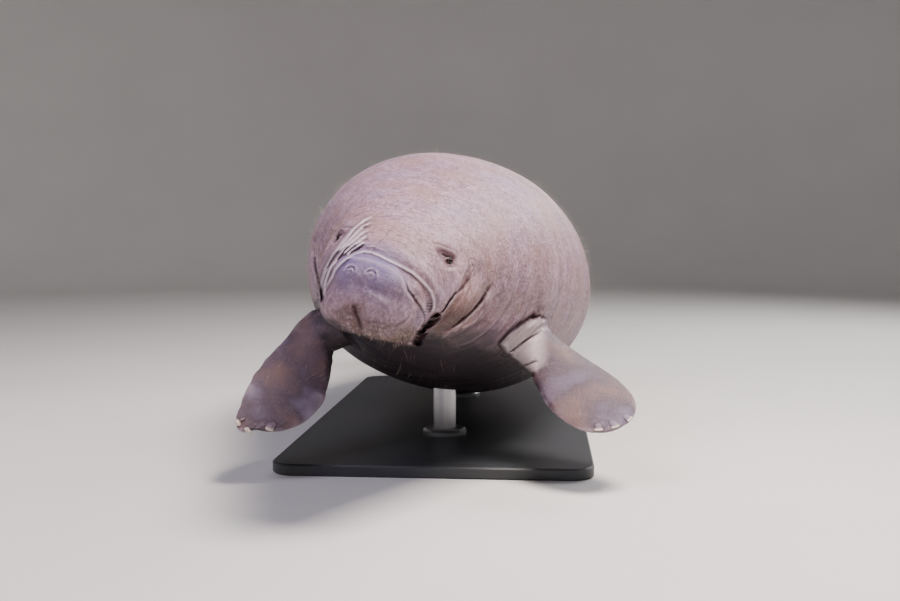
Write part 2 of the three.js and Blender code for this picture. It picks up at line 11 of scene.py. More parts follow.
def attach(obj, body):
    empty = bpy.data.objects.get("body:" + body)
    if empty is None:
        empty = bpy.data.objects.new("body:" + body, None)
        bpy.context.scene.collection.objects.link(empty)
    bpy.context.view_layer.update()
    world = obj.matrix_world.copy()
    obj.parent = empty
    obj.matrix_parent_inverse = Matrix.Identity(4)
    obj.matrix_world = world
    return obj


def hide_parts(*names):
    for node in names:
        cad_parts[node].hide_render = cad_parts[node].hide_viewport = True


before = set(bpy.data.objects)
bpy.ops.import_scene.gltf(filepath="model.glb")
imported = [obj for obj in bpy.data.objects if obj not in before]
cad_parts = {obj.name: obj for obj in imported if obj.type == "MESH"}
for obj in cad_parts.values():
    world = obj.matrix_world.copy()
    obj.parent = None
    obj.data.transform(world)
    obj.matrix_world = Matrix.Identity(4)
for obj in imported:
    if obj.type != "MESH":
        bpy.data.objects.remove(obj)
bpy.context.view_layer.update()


# The camera stands a little above the muzzle, 2 m ahead of it, and looks slightly down.
CAMERA_PLACE = (0.2513, -3.2252, 0.5857)
CAMERA_TURN = 4.7
CAMERA_PITCH = 86.0
CAMERA_LENS, SENSOR_WIDTH = 43.8, 36.0  # millimetres
camera_data = bpy.data.cameras.new("camera")
camera_data.lens = CAMERA_LENS
camera_data.sensor_width = SENSOR_WIDTH
camera = bpy.data.objects.new("camera", camera_data)
camera.location = CAMERA_PLACE
camera.rotation_euler = (math.radians(CAMERA_PITCH), 0.0, math.radians(CAMERA_TURN))
bpy.context.collection.objects.link(camera)
bpy.context.scene.camera = camera


# The cast of the body: one closed shell of resin from the snout to the round tail, with both
# flippers grown on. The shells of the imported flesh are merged, stitched ring to ring and
# subdivided, the flippers are joined to the trunk, and their roots are smoothed into it.
def select_only(piece):
    """Leaves piece as the one selected and active object."""
    bpy.ops.object.select_all(action="DESELECT")
    piece.select_set(True)
    bpy.context.view_layer.objects.active = piece


def select_points(piece, chosen):
    """In object mode, selects just the vertices where chosen is true."""
    mesh = piece.data
    mesh.polygons.foreach_set("select", np.zeros(len(mesh.polygons), bool))
    mesh.edges.foreach_set("select", np.zeros(len(mesh.edges), bool))
    mesh.vertices.foreach_set("select", np.ascontiguousarray(chosen, bool))


def places(mesh):
    """The mesh's vertices, in millimetres."""
    found = np.empty(len(mesh.vertices) * 3)
    mesh.vertices.foreach_get("co", found)
    return found.reshape(-1, 3) * 1000.0


def put_places(mesh, found):
    """Moves the mesh's vertices to these places in millimetres."""
    mesh.vertices.foreach_set("co", np.ascontiguousarray(found / 1000.0, np.float32).ravel())
    mesh.update()


def edge_ends(mesh):
    """The two vertex numbers of each edge."""
    found = np.empty(len(mesh.edges) * 2, np.int32)
    mesh.edges.foreach_get("vertices", found)
    return found.reshape(-1, 2)


def edit(**steps):
    """Runs mesh operators on the active piece in edit mode, in this order, with their settings."""
    bpy.ops.object.mode_set(mode="EDIT")
    for name, settings in steps.items():
        getattr(bpy.ops.mesh, name)(**settings)
    bpy.ops.object.mode_set(mode="OBJECT")


def joined(pieces, name):
    """Several pieces made one."""
    bpy.ops.object.select_all(action="DESELECT")
    for piece in pieces:
        piece.select_set(True)
    bpy.context.view_layer.objects.active = pieces[0]
    bpy.ops.object.join()
    pieces[0].name = name
    return pieces[0]


def cut_finer(piece, chosen):
    """Cuts the faces of the chosen points in four."""
    select_points(piece, chosen)
    select_only(piece)
    edit(subdivide={"number_cuts": 1})


def point_tree(points):
    """A search tree of points in millimetres."""
    tree = KDTree(len(points))
    for number, point in enumerate(points):
        tree.insert(point, number)
    tree.balance()
    return tree


def gaps_to(tree, points):
    """How far each point is from the nearest one in the tree."""
    return np.array([tree.find(point)[2] for point in points])


ALL, NONE = {"action": "SELECT"}, {"action": "DESELECT"}


def merged_copy(node, name):
    """A copy of a node's mesh, its loose triangles merged to one surface."""
    copy = bpy.data.objects.new(name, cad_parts[node].data.copy())
    bpy.context.collection.objects.link(copy)
    copy.data.materials.clear()
    select_only(copy)
    edit(select_mode={"type": "VERT"}, select_all=ALL, remove_doubles={"threshold": 0.00001})
    return copy


def smooth_levels(piece, levels):
    """Pairs the triangles to quads and subdivides the piece to a smooth surface."""
    select_only(piece)
    any_pair = {"face_threshold": math.pi, "shape_threshold": math.pi}
    edit(select_all=ALL, tris_convert_to_quads=any_pair)
    rounding = piece.modifiers.new("rounding", "SUBSURF")
    rounding.levels = levels
    rounding.render_levels = levels
    bpy.ops.object.modifier_apply(modifier=rounding.name)


CAP_EDGES = 40  # a cap's middle point has at least this many edges
RING_GAP = 0.0016  # metres across which the rings of two nodes are stitched
trunk_parts = []
for node in ("head", "neck", "torso", "tail_stock", "tail_paddle"):
    part = merged_copy(node, "cast_" + node)
    y = places(part.data)[:, 1]
    middle = np.bincount(edge_ends(part.data).ravel(), minlength=len(y)) >= CAP_EDGES
    if node == "head":
        middle &= y > y.min() + 100.0
    if node == "tail_paddle":
        middle &= y < y.max() - 100.0
    select_points(part, middle)
    edit(delete={"type": "VERT"})
    trunk_parts.append(part)
skin = joined(trunk_parts, "skin")
edit(select_all=NONE, select_non_manifold={}, remove_doubles={"threshold": RING_GAP})
smooth_levels(skin, 2)

ROOT_NEAR = 4.0  # millimetres from the trunk within which a point belongs to a flipper's root
ROOT_SINK = 34.0  # millimetres that the root is sunk into the trunk
ROOT_REACH = 42.0  # millimetres round a root where the trunk's faces are cut finer
FILLET_REACH = 20.0  # millimetres each side of the join that are smoothed
FILLET_PASSES = 26
JOIN_NEAR = 0.0004  # metres from both shells within which a point lies on their join


def surface_tree(mesh):
    """A search tree of the mesh's faces, in metres."""
    return BVHTree.FromPolygons(
        [v.co.copy() for v in mesh.vertices], [tuple(p.vertices) for p in mesh.polygons]
    )


flippers = []
trunk_tree = surface_tree(skin.data)
for node in ("flipper_left", "flipper_right"):
    flipper = merged_copy(node, "cast_" + node)
    for point in flipper.data.vertices:
        spot, facing, _, gap = trunk_tree.find_nearest(point.co)
        if gap < ROOT_NEAR / 1000.0:
            point.co = spot - facing * (ROOT_SINK / 1000.0)
    smooth_levels(flipper, 1)
    flippers.append(flipper)

root_tree = point_tree(np.concatenate([places(f.data) for f in flippers]))
cut_finer(skin, gaps_to(root_tree, places(skin.data)) < ROOT_REACH)
trunk_tree = surface_tree(skin.data)
flipper_trees = [surface_tree(f.data) for f in flippers]
for flipper in flippers:
    joining = skin.modifiers.new("joining", "BOOLEAN")
    joining.operation = "UNION"
    joining.solver = "MANIFOLD"
    joining.object = flipper
    select_only(skin)
    bpy.ops.object.modifier_apply(modifier=joining.name)
    bpy.data.objects.remove(flipper)
many_sided = {"number": 4, "type": "GREATER"}
edit(select_mode={"type": "FACE"}, select_all=NONE, select_face_by_sides=many_sided)
edit(quads_convert_to_tris={}, select_mode={"type": "VERT"})


def spread(values, ends, count):
    """The mean of each vertex's neighbours."""
    total = np.zeros((count, values.shape[1]))
    for axis in range(values.shape[1]):
        column = values[:, axis]
        total[:, axis] = np.bincount(ends[:, 0], column[ends[:, 1]], count)
        total[:, axis] += np.bincount(ends[:, 1], column[ends[:, 0]], count)
    degree = np.bincount(ends.ravel(), minlength=count)[:, None]
    return total / np.maximum(degree, 1)


spots = places(skin.data)
ends = edge_ends(skin.data)
join_spots = []
for spot in spots:
    place = Vector(spot / 1000.0)
    if trunk_tree.find_nearest(place)[3] < JOIN_NEAR:
        if min(tree.find_nearest(place)[3] for tree in flipper_trees) < JOIN_NEAR:
            join_spots.append(spot)
join_tree = point_tree(join_spots)
ease = np.clip(1.0 - gaps_to(join_tree, spots) / FILLET_REACH, 0.0, 1.0)[:, None] ** 0.7
for _ in range(FILLET_PASSES):
    spots += (spread(spots, ends, len(spots)) - spots) * 0.6 * ease
put_places(skin.data, spots)


# The sculpted folds of the hide. They are laid out along the straightened body: s along the
# spine from the snout, x to the animal's left, z up, all in millimetres.
BODY_LENGTH = 2900.0
SPINE_HEIGHT = 420.0
BALANCE_STATION = 1240.0
BANK = math.radians(10.0)
SPINE_STEP = 5.0
BEND_STATIONS = (0, 60, 130, 200, 300, 480, 700, 1000, 1500, 1900, 2300, 2600, 2900)
BEND_TURNS = (14, 12.5, 9.5, 7.8, 7.5, 6, 1.5, 0, 0, 0, -1, -2, -2)
BEND_CLIMBS = (17, 13.5, 10, 7, 2.5, -2.5, -5.5, -6.5, -6.5, -5, -2, 1, 4)


def eased(stations, values, wanted):
    """A smooth curve through the values at the stations."""
    at = np.asarray(stations, float)
    value = np.asarray(values, float)
    ahead = np.minimum(np.arange(len(at)) + 1, len(at) - 1)
    behind = np.maximum(np.arange(len(at)) - 1, 0)
    slope = (value[ahead] - value[behind]) / (at[ahead] - at[behind])
    i = np.clip(np.searchsorted(at, wanted, side="left") - 1, 0, len(at) - 2)
    span = at[i + 1] - at[i]
    t = np.clip((wanted - at[i]) / span, 0.0, 1.0)
    return (
        value[i] * (2 * t**3 - 3 * t**2 + 1)
        + slope[i] * span * (t**3 - 2 * t**2 + t)
        + value[i + 1] * (3 * t**2 - 2 * t**3)
        + slope[i + 1] * span * (t**3 - t**2)
    )


def spine_directions(s):
    """The directions along, left and up of the body's ring at each station."""
    turn = np.radians(eased(BEND_STATIONS, BEND_TURNS, s))
    climb = np.radians(eased(BEND_STATIONS, BEND_CLIMBS, s))
    zero = np.zeros_like(turn)
    along = np.stack([np.sin(turn) * np.cos(climb), np.cos(turn) * np.cos(climb), np.sin(climb)], -1)
    level = np.stack([np.cos(turn), -np.sin(turn), zero], -1)
    upright = np.cross(level, along)
    left = level * math.cos(BANK) - upright * math.sin(BANK)
    up = upright * math.cos(BANK) + level * math.sin(BANK)
    return along, left, up


spine_stations = np.arange(0.0, BODY_LENGTH + 1.0, SPINE_STEP)
steps = spine_directions(spine_stations[:-1] + SPINE_STEP / 2)[0] * SPINE_STEP
spine_places = np.concatenate([np.zeros((1, 3)), np.cumsum(steps, 0)])
spine_places += (0.0, 0.0, SPINE_HEIGHT) - spine_places[int(BALANCE_STATION / SPINE_STEP)]


def spine_at(s):
    """The spine's place and directions at each station, carried straight on past its ends."""
    held = np.clip(s, 0.0, BODY_LENGTH)
    place = np.stack([np.interp(held, spine_stations, spine_places[:, k]) for k in range(3)], -1)
    along, left, up = spine_directions(held)
    return place + along * (s - held)[:, None], along, left, up


def straightened(spots):
    """Where each place lies along the straightened body, as s, x and z."""
    s = spots[:, 1] + BALANCE_STATION
    for _ in range(24):
        place, along, left, up = spine_at(s)
        s = s + 0.8 * ((spots - place) * along).sum(1)
    place, along, left, up = spine_at(s)
    return np.stack([s, ((spots - place) * left).sum(1), ((spots - place) * up).sum(1)], -1)


def posed(body_spots):
    """Places in millimetres of points given as s, x and z."""
    body_spots = np.atleast_2d(np.asarray(body_spots, float))
    place, along, left, up = spine_at(body_spots[:, 0])
    return place + left * body_spots[:, 1:2] + up * body_spots[:, 2:3]


def lumps(points, size, seed):
    """Smooth noise from -1 to 1 with lumps of this size."""
    q = points / np.asarray(size, float) + seed * 7.31
    cell = np.floor(q).astype(np.int64)
    f = q - cell
    f = f * f * f * (f * (f * 6 - 15) + 10)
    total = np.zeros(len(points))
    for corner in range(8):
        step = np.array([corner & 1, corner >> 1 & 1, corner >> 2 & 1])
        c = cell + step
        h = (c[:, 0] * 73856093) ^ (c[:, 1] * 19349663) ^ (c[:, 2] * 83492791) ^ (seed * 26544357)
        h = (h ^ (h >> 13)) * 1274126177 & 0x7FFFFFFF
        h = (h ^ (h >> 15)) * 2246822519 & 0x7FFFFFFF
        value = h / 0x3FFFFFFF - 1.0
        total += value * np.prod(np.where(step, f, 1 - f), axis=1)
    return total


def bump(gap, width):
    """A round swell of height 1 with this half width."""
    return np.exp(-((gap / width) ** 2))


def ramp(value, low, high):
    """0 below low, 1 above high, and smooth between."""
    t = np.clip((value - low) / (high - low), 0.0, 1.0)
    return t * t * (3 - 2 * t)


def near_line(points, line):
    """How far each point is from a line, and how far along the line it lies, in millimetres."""
    line = np.asarray(line, float)
    gap = np.full(len(points), np.inf)
    along = np.zeros(len(points))
    start = 0.0
    for a, b in zip(line[:-1], line[1:]):
        length = np.linalg.norm(b - a)
        t = np.clip(((points - a) @ (b - a)) / length**2, 0.0, 1.0)
        here = np.linalg.norm(points - (a + t[:, None] * (b - a)), axis=1)
        closer = here < gap
        gap[closer] = here[closer]
        along[closer] = (start + t * length)[closer]
        start += length
    return gap, along / start, start


def furrow(points, line, depth, width):
    """A sharp valley along a line between two soft lips, fading at both ends."""
    gap, share, _ = near_line(points, line)
    ends_fade = ramp(share, 0.0, 0.12) * ramp(1 - share, 0.0, 0.12)
    valley = np.exp(-((gap / width) ** 1.4))
    return ends_fade * depth * (0.4 * bump(gap - 2.3 * width, 1.5 * width) - valley)


def creases(points, size, seed, sharp=0.3):
    """A net of thin valleys from 0 to 1, stretched as size says."""
    return np.clip(1.0 - np.abs(lumps(points, size, seed)) / sharp, 0.0, 1.0)


MOUTH_LINE = ((66, 0, -92), (72, 42, -92), (92, 78, -88), (120, 101, -80), (138, 112, -70))
MUZZLE_RING = (
    (60, 0, 73), (62, 40, 66), (74, 76, 44), (92, 97, 20), (108, 112, -20), (118, 116, -52),
    (128, 108, -74),
)
CHEEK_FOLD = ((266, 158, 30), (232, 149, -9), (196, 128, -60), (164, 106, -92), (140, 86, -102))
JOWL_FOLD = ((334, 188, -16), (304, 168, -74), (268, 128, -112), (220, 88, -124), (184, 56, -122))
THROAT_FOLD = ((372, 196, -50), (352, 150, -138), (318, 80, -164), (300, 0, -168))
NECK_FOLD = ((450, 222, 40), (440, 214, -60), (424, 160, -150), (410, 60, -190))
SHOULDER_FOLD = ((560, 268, 66), (560, 266, -40), (548, 226, -140))
RIGHT_NECK_FOLD = (
    (592, -292, 14), (585, -284, -24), (574, -270, -68), (548, -252, -98), (520, -232, -124),
)
RIGHT_NECK_BULGE = ((614, -302, 50), (608, -294, -10), (600, -282, -50))
MOUTH_CORNER = ((150, 122, -60), (148, 110, -77), (184, 97, -106))
NOSTRIL = np.array([16.0, 20.5, 44.0])
EYE_STATION = 200.0

# the finer lines of the face and the flippers, in pixels of the camera's 900 x 601 picture, each
# about 1.9 mm wide at the face
PICTURE_WIDTH, PICTURE_HEIGHT = 900, 601
MUZZLE_EDGE = (
    (322, 298), (324, 290), (327, 284), (331, 277), (334.5, 269.5), (340.5, 263), (347, 258),
    (355, 253.5), (364, 251), (372, 252), (380, 255), (390, 260.5), (403, 267), (412, 272),
    (420, 279), (427, 286), (431.5, 292), (434.5, 300), (434.5, 308), (431, 316),
)
RIDGES = (
    (
        (374, 216), (364, 220.5), (358, 225.5), (352, 231), (346, 238), (341, 244), (333, 255),
        (326, 268), (321, 284), (318.5, 297),
    ),
    ((371, 222.5), (363, 227), (357, 232.5), (351, 238), (345, 244), (338, 253)),
    (
        (369, 229.5), (362, 233.5), (356, 238), (350, 243), (344, 249), (337, 258), (330.5, 268),
        (326, 279), (322.5, 291),
    ),
    ((367, 235.5), (361, 239.5), (355, 244), (349, 249), (343, 255)),
    ((365, 242), (359, 245.5), (352, 250.5), (346, 255.5)),
)
SADDLE_FOLDS = (
    ((363, 248), (369, 246.5), (375, 245.5), (381, 248.5), (388, 254.5), (395, 260)),
    ((367.5, 242.5), (371, 237.5), (376, 235.5), (382, 237), (388, 241.5)),
    ((384, 241), (391, 238), (398, 239.5), (405, 243), (413, 249), (420, 256)),
    ((378, 232), (384, 230.5), (390, 230), (400, 232), (410, 237), (420, 243)),
    ((382, 222), (392, 225), (406, 231.5), (423, 238), (434, 245)),
)
SADDLE_CREASE = ((366, 245), (371, 244.5), (378, 244.5))
SIDE_CREASE = (
    (314, 254), (315, 262), (316.3, 271), (318.7, 282), (320.6, 289.5), (322, 297), (321, 304),
)
CHEEK_CREASE = (
    (473, 267), (469, 279), (463, 288), (456, 293.5), (450, 300), (446, 307), (441, 314), (428, 331),
)
JOWL_CREASE = ((494, 282), (487, 292), (482, 300), (476, 307), (470, 313), (463, 319), (448, 331))
MOUTH_PIT = ((440, 312), (431, 321), (424, 330), (419, 338), (414, 347))
PAD_CREASE = (
    (400, 268), (404, 276), (406.5, 284), (408, 290), (412, 295), (416, 301), (420, 306),
    (423.5, 312), (425, 319), (424, 327), (420, 333),
)
PAD_HOOK = ((411, 294), (414, 296), (418, 294))
NOSE_GROOVE = ((345, 280.5), (358, 282.5), (367, 285.5), (377, 288.5), (388, 291.5), (399, 296))
LOBE_TOP = ((343, 286), (352, 285.5), (362, 288), (371, 292.5), (380, 298), (388, 304), (397, 309))
LOBE_CREASE = ((395, 324.5), (402, 322), (408, 317), (411, 311))
CLEFT = ((352, 299), (354, 307), (356.5, 315), (360, 323), (364, 331))
LIP_FRINGE = (
    (337, 306), (343, 320), (357, 330), (372, 332), (388, 336), (402, 339), (415, 337), (422, 331),
)
ROOT_CREASES = (
    ((505, 350.5), (514, 347), (522, 343), (530, 338.5), (537, 335), (542, 331)),
    ((521, 364.5), (530, 364), (539, 361.5)),
)
ARMPIT = ((528, 318.5), (534, 314), (541, 308.5), (547, 303.5))
BROW_SHADE = ((435, 245.5), (442, 248.5), (450, 252), (460, 257.5))
# a short dark mark behind the left jowl, painted dark
DARK_MARK = ((522, 298), (523, 302), (523.5, 306))
ARM_EDGE = ((533, 369), (543.5, 379), (551, 398), (562, 416), (575, 428))
LEADING_EDGE = ((522, 362), (530, 373), (538, 385), (545, 397), (552, 409), (560, 419))
# places of the right flipper's edge as packed, and how far each is drawn out to a pointed blade
LEAF_EDGE = (
    (317, 312), (305, 328), (297, 335), (285, 344), (273, 353), (258, 364), (245, 379), (241, 392),
    (243, 405), (252, 417), (269, 430), (282, 432), (295, 429), (309, 420), (318, 406), (327, 386),
    (331, 376), (336, 365), (346, 351), (349, 342),
)
LEAF_DRAWN = (
    (-5, -1), (-10, -1), (-10, 3), (-7, 2), (-4, 4), (0, 7), (5, 7), (1, 11),
    (-6, 15), (-14, 12), (-7, 1), (-1, -1), (3, -4), (5, -6), (6, -4), (1, 0),
    (-2, 0), (-6, 0), (-13, 1), (-13, 0),
)
LEAF_SOFTNESS, LEAF_FALL = 70.0, 1.8  # each place's pull fades with its distance, in pixels
# the painted shadow under the head: the underside of the neck and the belly, and the strip of the right
# flipper that faces down
THROAT_SHADOW = (
    (309, 302), (311, 310), (316, 325), (322, 339), (326, 352), (327, 378), (329, 392), (345, 400),
    (545, 400), (533, 375), (525, 366), (510, 358.5), (500, 351), (492, 352), (473, 344), (453, 346),
    (442, 337), (432, 333), (424, 336), (417, 342), (405, 344.5), (388, 342), (374, 338), (359, 333.5),
    (349, 329.5), (341, 324), (335, 319.5), (326, 316.5), (321.5, 311), (318, 300), (309, 302),
)
ROOT_BULGE = (
    (500, 344.5), (509, 334), (520, 325.5), (530, 319.5), (539, 316.5), (547, 321), (557, 333),
    (556, 352), (544, 374), (531, 374), (522, 365), (506, 352.5), (500, 344.5),
)


def ball_of(node):
    """The middle and radius in millimetres of a packed eye, from the part of it that shows."""
    ball = np.unique(places(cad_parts[node].data).round(3), axis=0)
    away = ball - posed(straightened(ball.mean(0)[None]) * (1, 0, 0))
    outer = ball[np.linalg.norm(away, axis=1) > np.median(np.linalg.norm(away, axis=1))]
    known = np.linalg.lstsq(
        np.concatenate([2 * outer, np.ones((len(outer), 1))], 1), (outer**2).sum(1), rcond=None
    )[0]
    return known[:3], math.sqrt(known[3] + (known[:3] ** 2).sum())


EYE_CUT_REACH = 24.0  # millimetres round each eye where the hide's faces are cut finer
SHOULDER_END = -540.0  # the frame's y behind which nothing is cut
FLIPPER_SIDE = 60.0  # millimetres to either side past which the flippers lie
SIDE_STATION, SIDE_SPAN = 540.0, 180.0  # the middle and half length of the side crease's cut


turn, pitch = math.radians(CAMERA_TURN), math.radians(CAMERA_PITCH)
PICTURE_RIGHT = np.array([math.cos(turn), math.sin(turn), 0.0])
PICTURE_AHEAD = np.array([-math.sin(turn), math.cos(turn), 0.0]) * math.sin(pitch)
PICTURE_AHEAD -= (0.0, 0.0, math.cos(pitch))
PICTURE_UP = np.cross(PICTURE_RIGHT, PICTURE_AHEAD)
PIXELS_ACROSS = CAMERA_LENS / SENSOR_WIDTH * PICTURE_WIDTH  # of a thing as wide as it is far


def seen(places_here):
    """Where places are seen in the picture, in pixels, and how they lie from the camera."""
    away = places_here / 1000.0 - CAMERA_PLACE
    magnified = PIXELS_ACROSS / (away @ PICTURE_AHEAD)
    across = PICTURE_WIDTH / 2 + magnified * (away @ PICTURE_RIGHT)
    down = PICTURE_HEIGHT / 2 - magnified * (away @ PICTURE_UP)
    return np.stack([across, down], -1), away / np.linalg.norm(away, axis=1)[:, None]


def inside(points, outline):
    """Whether each point of the picture lies inside an outline."""
    within = np.zeros(len(points), bool)
    for (ax, ay), (bx, by) in zip(outline[:-1], outline[1:]):
        spans = (ay > points[:, 1]) != (by > points[:, 1])
        within ^= spans & (points[:, 0] < (bx - ax) * (points[:, 1] - ay) / ((by - ay) or 1e-9) + ax)
    return within


# the hide's faces are cut finer where the finest relief lies, twice along the side crease
eyes = {node: ball_of(node) for node in ("eye_left", "eye_right")}
for part in ("eyes", "side crease", "side crease again", "flipper root", "flipper creases"):
    spots = places(skin.data)
    in_picture = seen(spots)[0]
    shoulder = spots[:, 1] < SHOULDER_END
    if part == "eyes":
        gaps = [np.linalg.norm(spots - middle, axis=1) for middle, _ in eyes.values()]
        chosen = np.min(gaps, 0) < EYE_CUT_REACH
    elif part == "flipper creases":
        chosen = np.min([near_line(in_picture, line)[0] for line in ROOT_CREASES], 0) < 4.0
        chosen &= shoulder & (spots[:, 0] > FLIPPER_SIDE)
    elif part == "flipper root":
        chosen = (near_line(in_picture, ROOT_BULGE)[0] < 7.0) | inside(in_picture, ROOT_BULGE)
        chosen &= shoulder & (spots[:, 0] > FLIPPER_SIDE)
    else:
        chosen = (near_line(in_picture, SIDE_CREASE)[0] < 5.0) & shoulder & (spots[:, 0] < -FLIPPER_SIDE)
        chosen &= np.abs(straightened(spots)[:, 0] - SIDE_STATION) < SIDE_SPAN
    cut_finer(skin, chosen)

spots = places(skin.data)
ends = edge_ends(skin.data)
count = len(spots)
normals = np.empty(count * 3, np.float32)


def outwards():
    """The direction that each point of the hide faces."""
    skin.data.vertices.foreach_get("normal", normals)
    return normals.reshape(-1, 3).astype(float)


# the muzzle's packed ring and the steps round the left flipper's root are smoothed away first
view = seen(spots)[0]
ease = np.maximum(1 - ramp(near_line(view, ROOT_BULGE)[0], 2.0, 6.0), inside(view, ROOT_BULGE))
ease *= (spots[:, 0] > FLIPPER_SIDE) * (spots[:, 1] < SHOULDER_END)
body = straightened(spots)
ring_gap = near_line(body * (1, 0, 1) + np.abs(body) * (0, 1, 0), MUZZLE_RING)[0]
ease = np.maximum(ease, 1 - ramp(ring_gap, 12.0, 24.0))[:, None]
for _ in range(40):
    spots += (spread(spots, ends, count) - spots) * 0.6 * ease
put_places(skin.data, spots)


def leafy(places_here):
    """How far each place of the right flipper is drawn towards the blade's pointed outline."""
    pixels = seen(places_here)[0]
    gaps = np.linalg.norm(pixels[:, None] - np.array(LEAF_EDGE, float), axis=2)
    pulls = 1.0 / (gaps**2 + LEAF_SOFTNESS) ** LEAF_FALL
    drawn_out = pulls @ np.array(LEAF_DRAWN, float) / pulls.sum(1)[:, None]
    size = (places_here - np.array(CAMERA_PLACE) * 1000.0) @ PICTURE_AHEAD / PIXELS_ACROSS
    return (drawn_out[:, :1] * PICTURE_RIGHT - drawn_out[:, 1:] * PICTURE_UP) * size[:, None]


join_gap = gaps_to(join_tree, spots)
limb = (1.0 - ramp(gaps_to(root_tree, spots), 6.0, 16.0)) * ramp(join_gap, 4.0, 24.0)
spots += leafy(spots) * (limb * (spots[:, 0] < -FLIPPER_SIDE))[:, None]
put_places(skin.data, spots)

facing = outwards()
for _ in range(3):
    facing = facing + spread(facing, ends, count)
    facing /= np.linalg.norm(facing, axis=1)[:, None]
body = straightened(spots)
paired = body * (1, 0, 1) + np.abs(body) * (0, 1, 0)
drift = np.stack([lumps(body, 46.0, 11 + k) for k in range(3)], -1) * 4.0
drifted = paired + drift
s, x, z = body.T
trunk_side = 1.0 - limb
out = np.zeros(count)  # relief along the way that the hide faces
carved = np.zeros(count)  # relief towards the camera, which keeps each line's place in the picture

# where each point is seen in the picture, and how squarely it faces the camera
view, away = seen(spots)
view_drift = np.stack([lumps(body, 24.0, 16 + k) for k in range(2)], -1) * 0.35
aimed = -(facing * away).sum(1)
square_on = ramp(aimed, 0.0, 0.16)
FACE_END = (330.0, 420.0)  # the stations along the spine between which the face's lines fade out
face_on = square_on * (1 - ramp(s, *FACE_END)) * trunk_side


def traced(line):
    """How far each point is seen from a line, negative on its left, and its share along it."""
    line = np.asarray(line, float)
    points = view + view_drift
    gap, share, length = near_line(points, line)
    side, nearest = np.zeros(count), np.full(count, np.inf)
    for a, b in zip(line[:-1], line[1:]):
        way, off = b - a, points - a
        t = np.clip(off @ way / (way @ way), 0.0, 1.0)
        here = np.linalg.norm(off - t[:, None] * way, axis=1)
        closer = here < nearest
        nearest[closer] = here[closer]
        side[closer] = np.sign(way[0] * off[:, 1] - way[1] * off[:, 0])[closer]
    return gap * side, share


def faded(share, fade=0.14):
    """1 along a line and 0 at its ends."""
    return ramp(share, 0.0, fade) * ramp(1 - share, 0.0, fade)


def drawn(line, depth, width, lip=0.45, fade=0.14):
    """A valley along a line of the picture, its width in pixels, between two soft lips."""
    gap, share = traced(line)
    gap = np.abs(gap)
    valley = np.exp(-((gap / width) ** 1.4))
    return face_on * faded(share, fade) * depth * (lip * bump(gap - 2.3 * width, 1.4 * width) - valley)


def stroke(line, width, fade=0.14, shift=0.0):
    """A soft swell from 0 to 1 along a line of the picture, shifted to its right, in pixels."""
    gap, share = traced(line)
    return faded(share, fade) * bump(gap - shift, width)


def depth_in(outline):
    """How far inside an outline of the picture each point is seen, negative outside it."""
    points = view + view_drift
    gap = near_line(points, outline)[0]
    return np.where(inside(points, outline), gap, -gap)


# the folds that both sides have, and those of the right side alone
left_side = ramp(x, -20.0, 20.0)
out += furrow(drifted, MOUTH_LINE, 6.0, 3.4)
out -= 12.0 * bump(near_line(paired, MOUTH_CORNER)[0], 9.0)
out += furrow(drifted, CHEEK_FOLD, 7.0, 4.0) * (1 - left_side)
out += furrow(drifted, JOWL_FOLD, 7.0, 4.4) * (1 - left_side)
out += furrow(drifted, THROAT_FOLD, 4.0, 7.0)
out += furrow(drifted, NECK_FOLD, 5.0, 8.0)
out += furrow(drifted, SHOULDER_FOLD, 5.0, 8.0)
out -= 9.0 * bump(near_line(body + 0.3 * drift, RIGHT_NECK_FOLD)[0], 7.0)
out += 5.0 * bump(near_line(body, RIGHT_NECK_BULGE)[0], 22.0)

# the muzzle's raised rim, and the parallel ridges that run round it, strongest on the right
edge_gap, edge_share = traced(MUZZLE_EDGE)
rim = face_on * faded(edge_share, 0.05)
carved += rim * (3.6 * bump(edge_gap - 0.4, 1.6) - 0.8 * bump(edge_gap + 3.2, 1.8))


def ridges():
    """How far each point lies in the field of ridges, and on the crest of one, from 0 to 1."""
    cover, crest = np.zeros(count), np.zeros(count)
    for line in RIDGES:
        gap, share = traced(line)
        cover = np.maximum(cover, bump(np.maximum(np.abs(gap) - 2, 0), 1.6) * faded(share, 0.08))
        crest = np.maximum(crest, faded(share, 0.1) * bump(gap, 1.35))
    return cover, crest


ridge_cover, ridge_crest = ridges()
carved += face_on * (5.6 * ridge_crest - 2.2 * ridge_cover)
for line, height in zip(SADDLE_FOLDS, (0.8, 2.0, 1.8, 1.4, 1.6)):
    carved += height * face_on * stroke(line, 2.2, 0.25)
carved += drawn(SADDLE_CREASE, 1.2, 1.0)
saddle = bump(np.linalg.norm((view - (392.0, 243.0)) / (34.0, 15.0), axis=1), 0.9) * face_on
out += 0.7 * saddle * lumps(body, (9.0, 26.0, 26.0), 25)

# the pads of the upper lip, their groove, their lobes and the cleft between them
pads = bump(np.linalg.norm(paired - (18.0, 44.0, -48.0), axis=1), 50.0)
carved += drawn(PAD_CREASE, 3.0, 1.3, 0.35, 0.4)
carved += drawn(PAD_HOOK, 1.2, 1.0)
carved += drawn(NOSE_GROOVE, 0.9, 4.2, 0.3)
carved += 2.2 * face_on * stroke(LOBE_TOP, 4.4, 0.3)
carved += drawn(LOBE_CREASE, 1.7, 1.7)
carved += drawn(CLEFT, 1.6, 1.5, 0.3, 0.3)
carved += drawn(CLEFT, 1.6, 6.5, 0.1, 0.2)
out += 0.7 * pads * lumps(body, 5.5, 24) - 0.9 * pads * creases(body, (5.0, 9.0, 16.0), 23, 0.4)
pleats = ramp(view[:, 1], 300.0, 304.0) * (1 - ramp(view[:, 1], 317.0, 321.0))
pleats *= face_on * bump(view[:, 0] - 428.0, 5.6)
carved -= 1.1 * pleats * np.cos(2 * math.pi * (view[:, 1] - 306.0) / 2.9 + 0.8 * lumps(body, 12.0, 22))

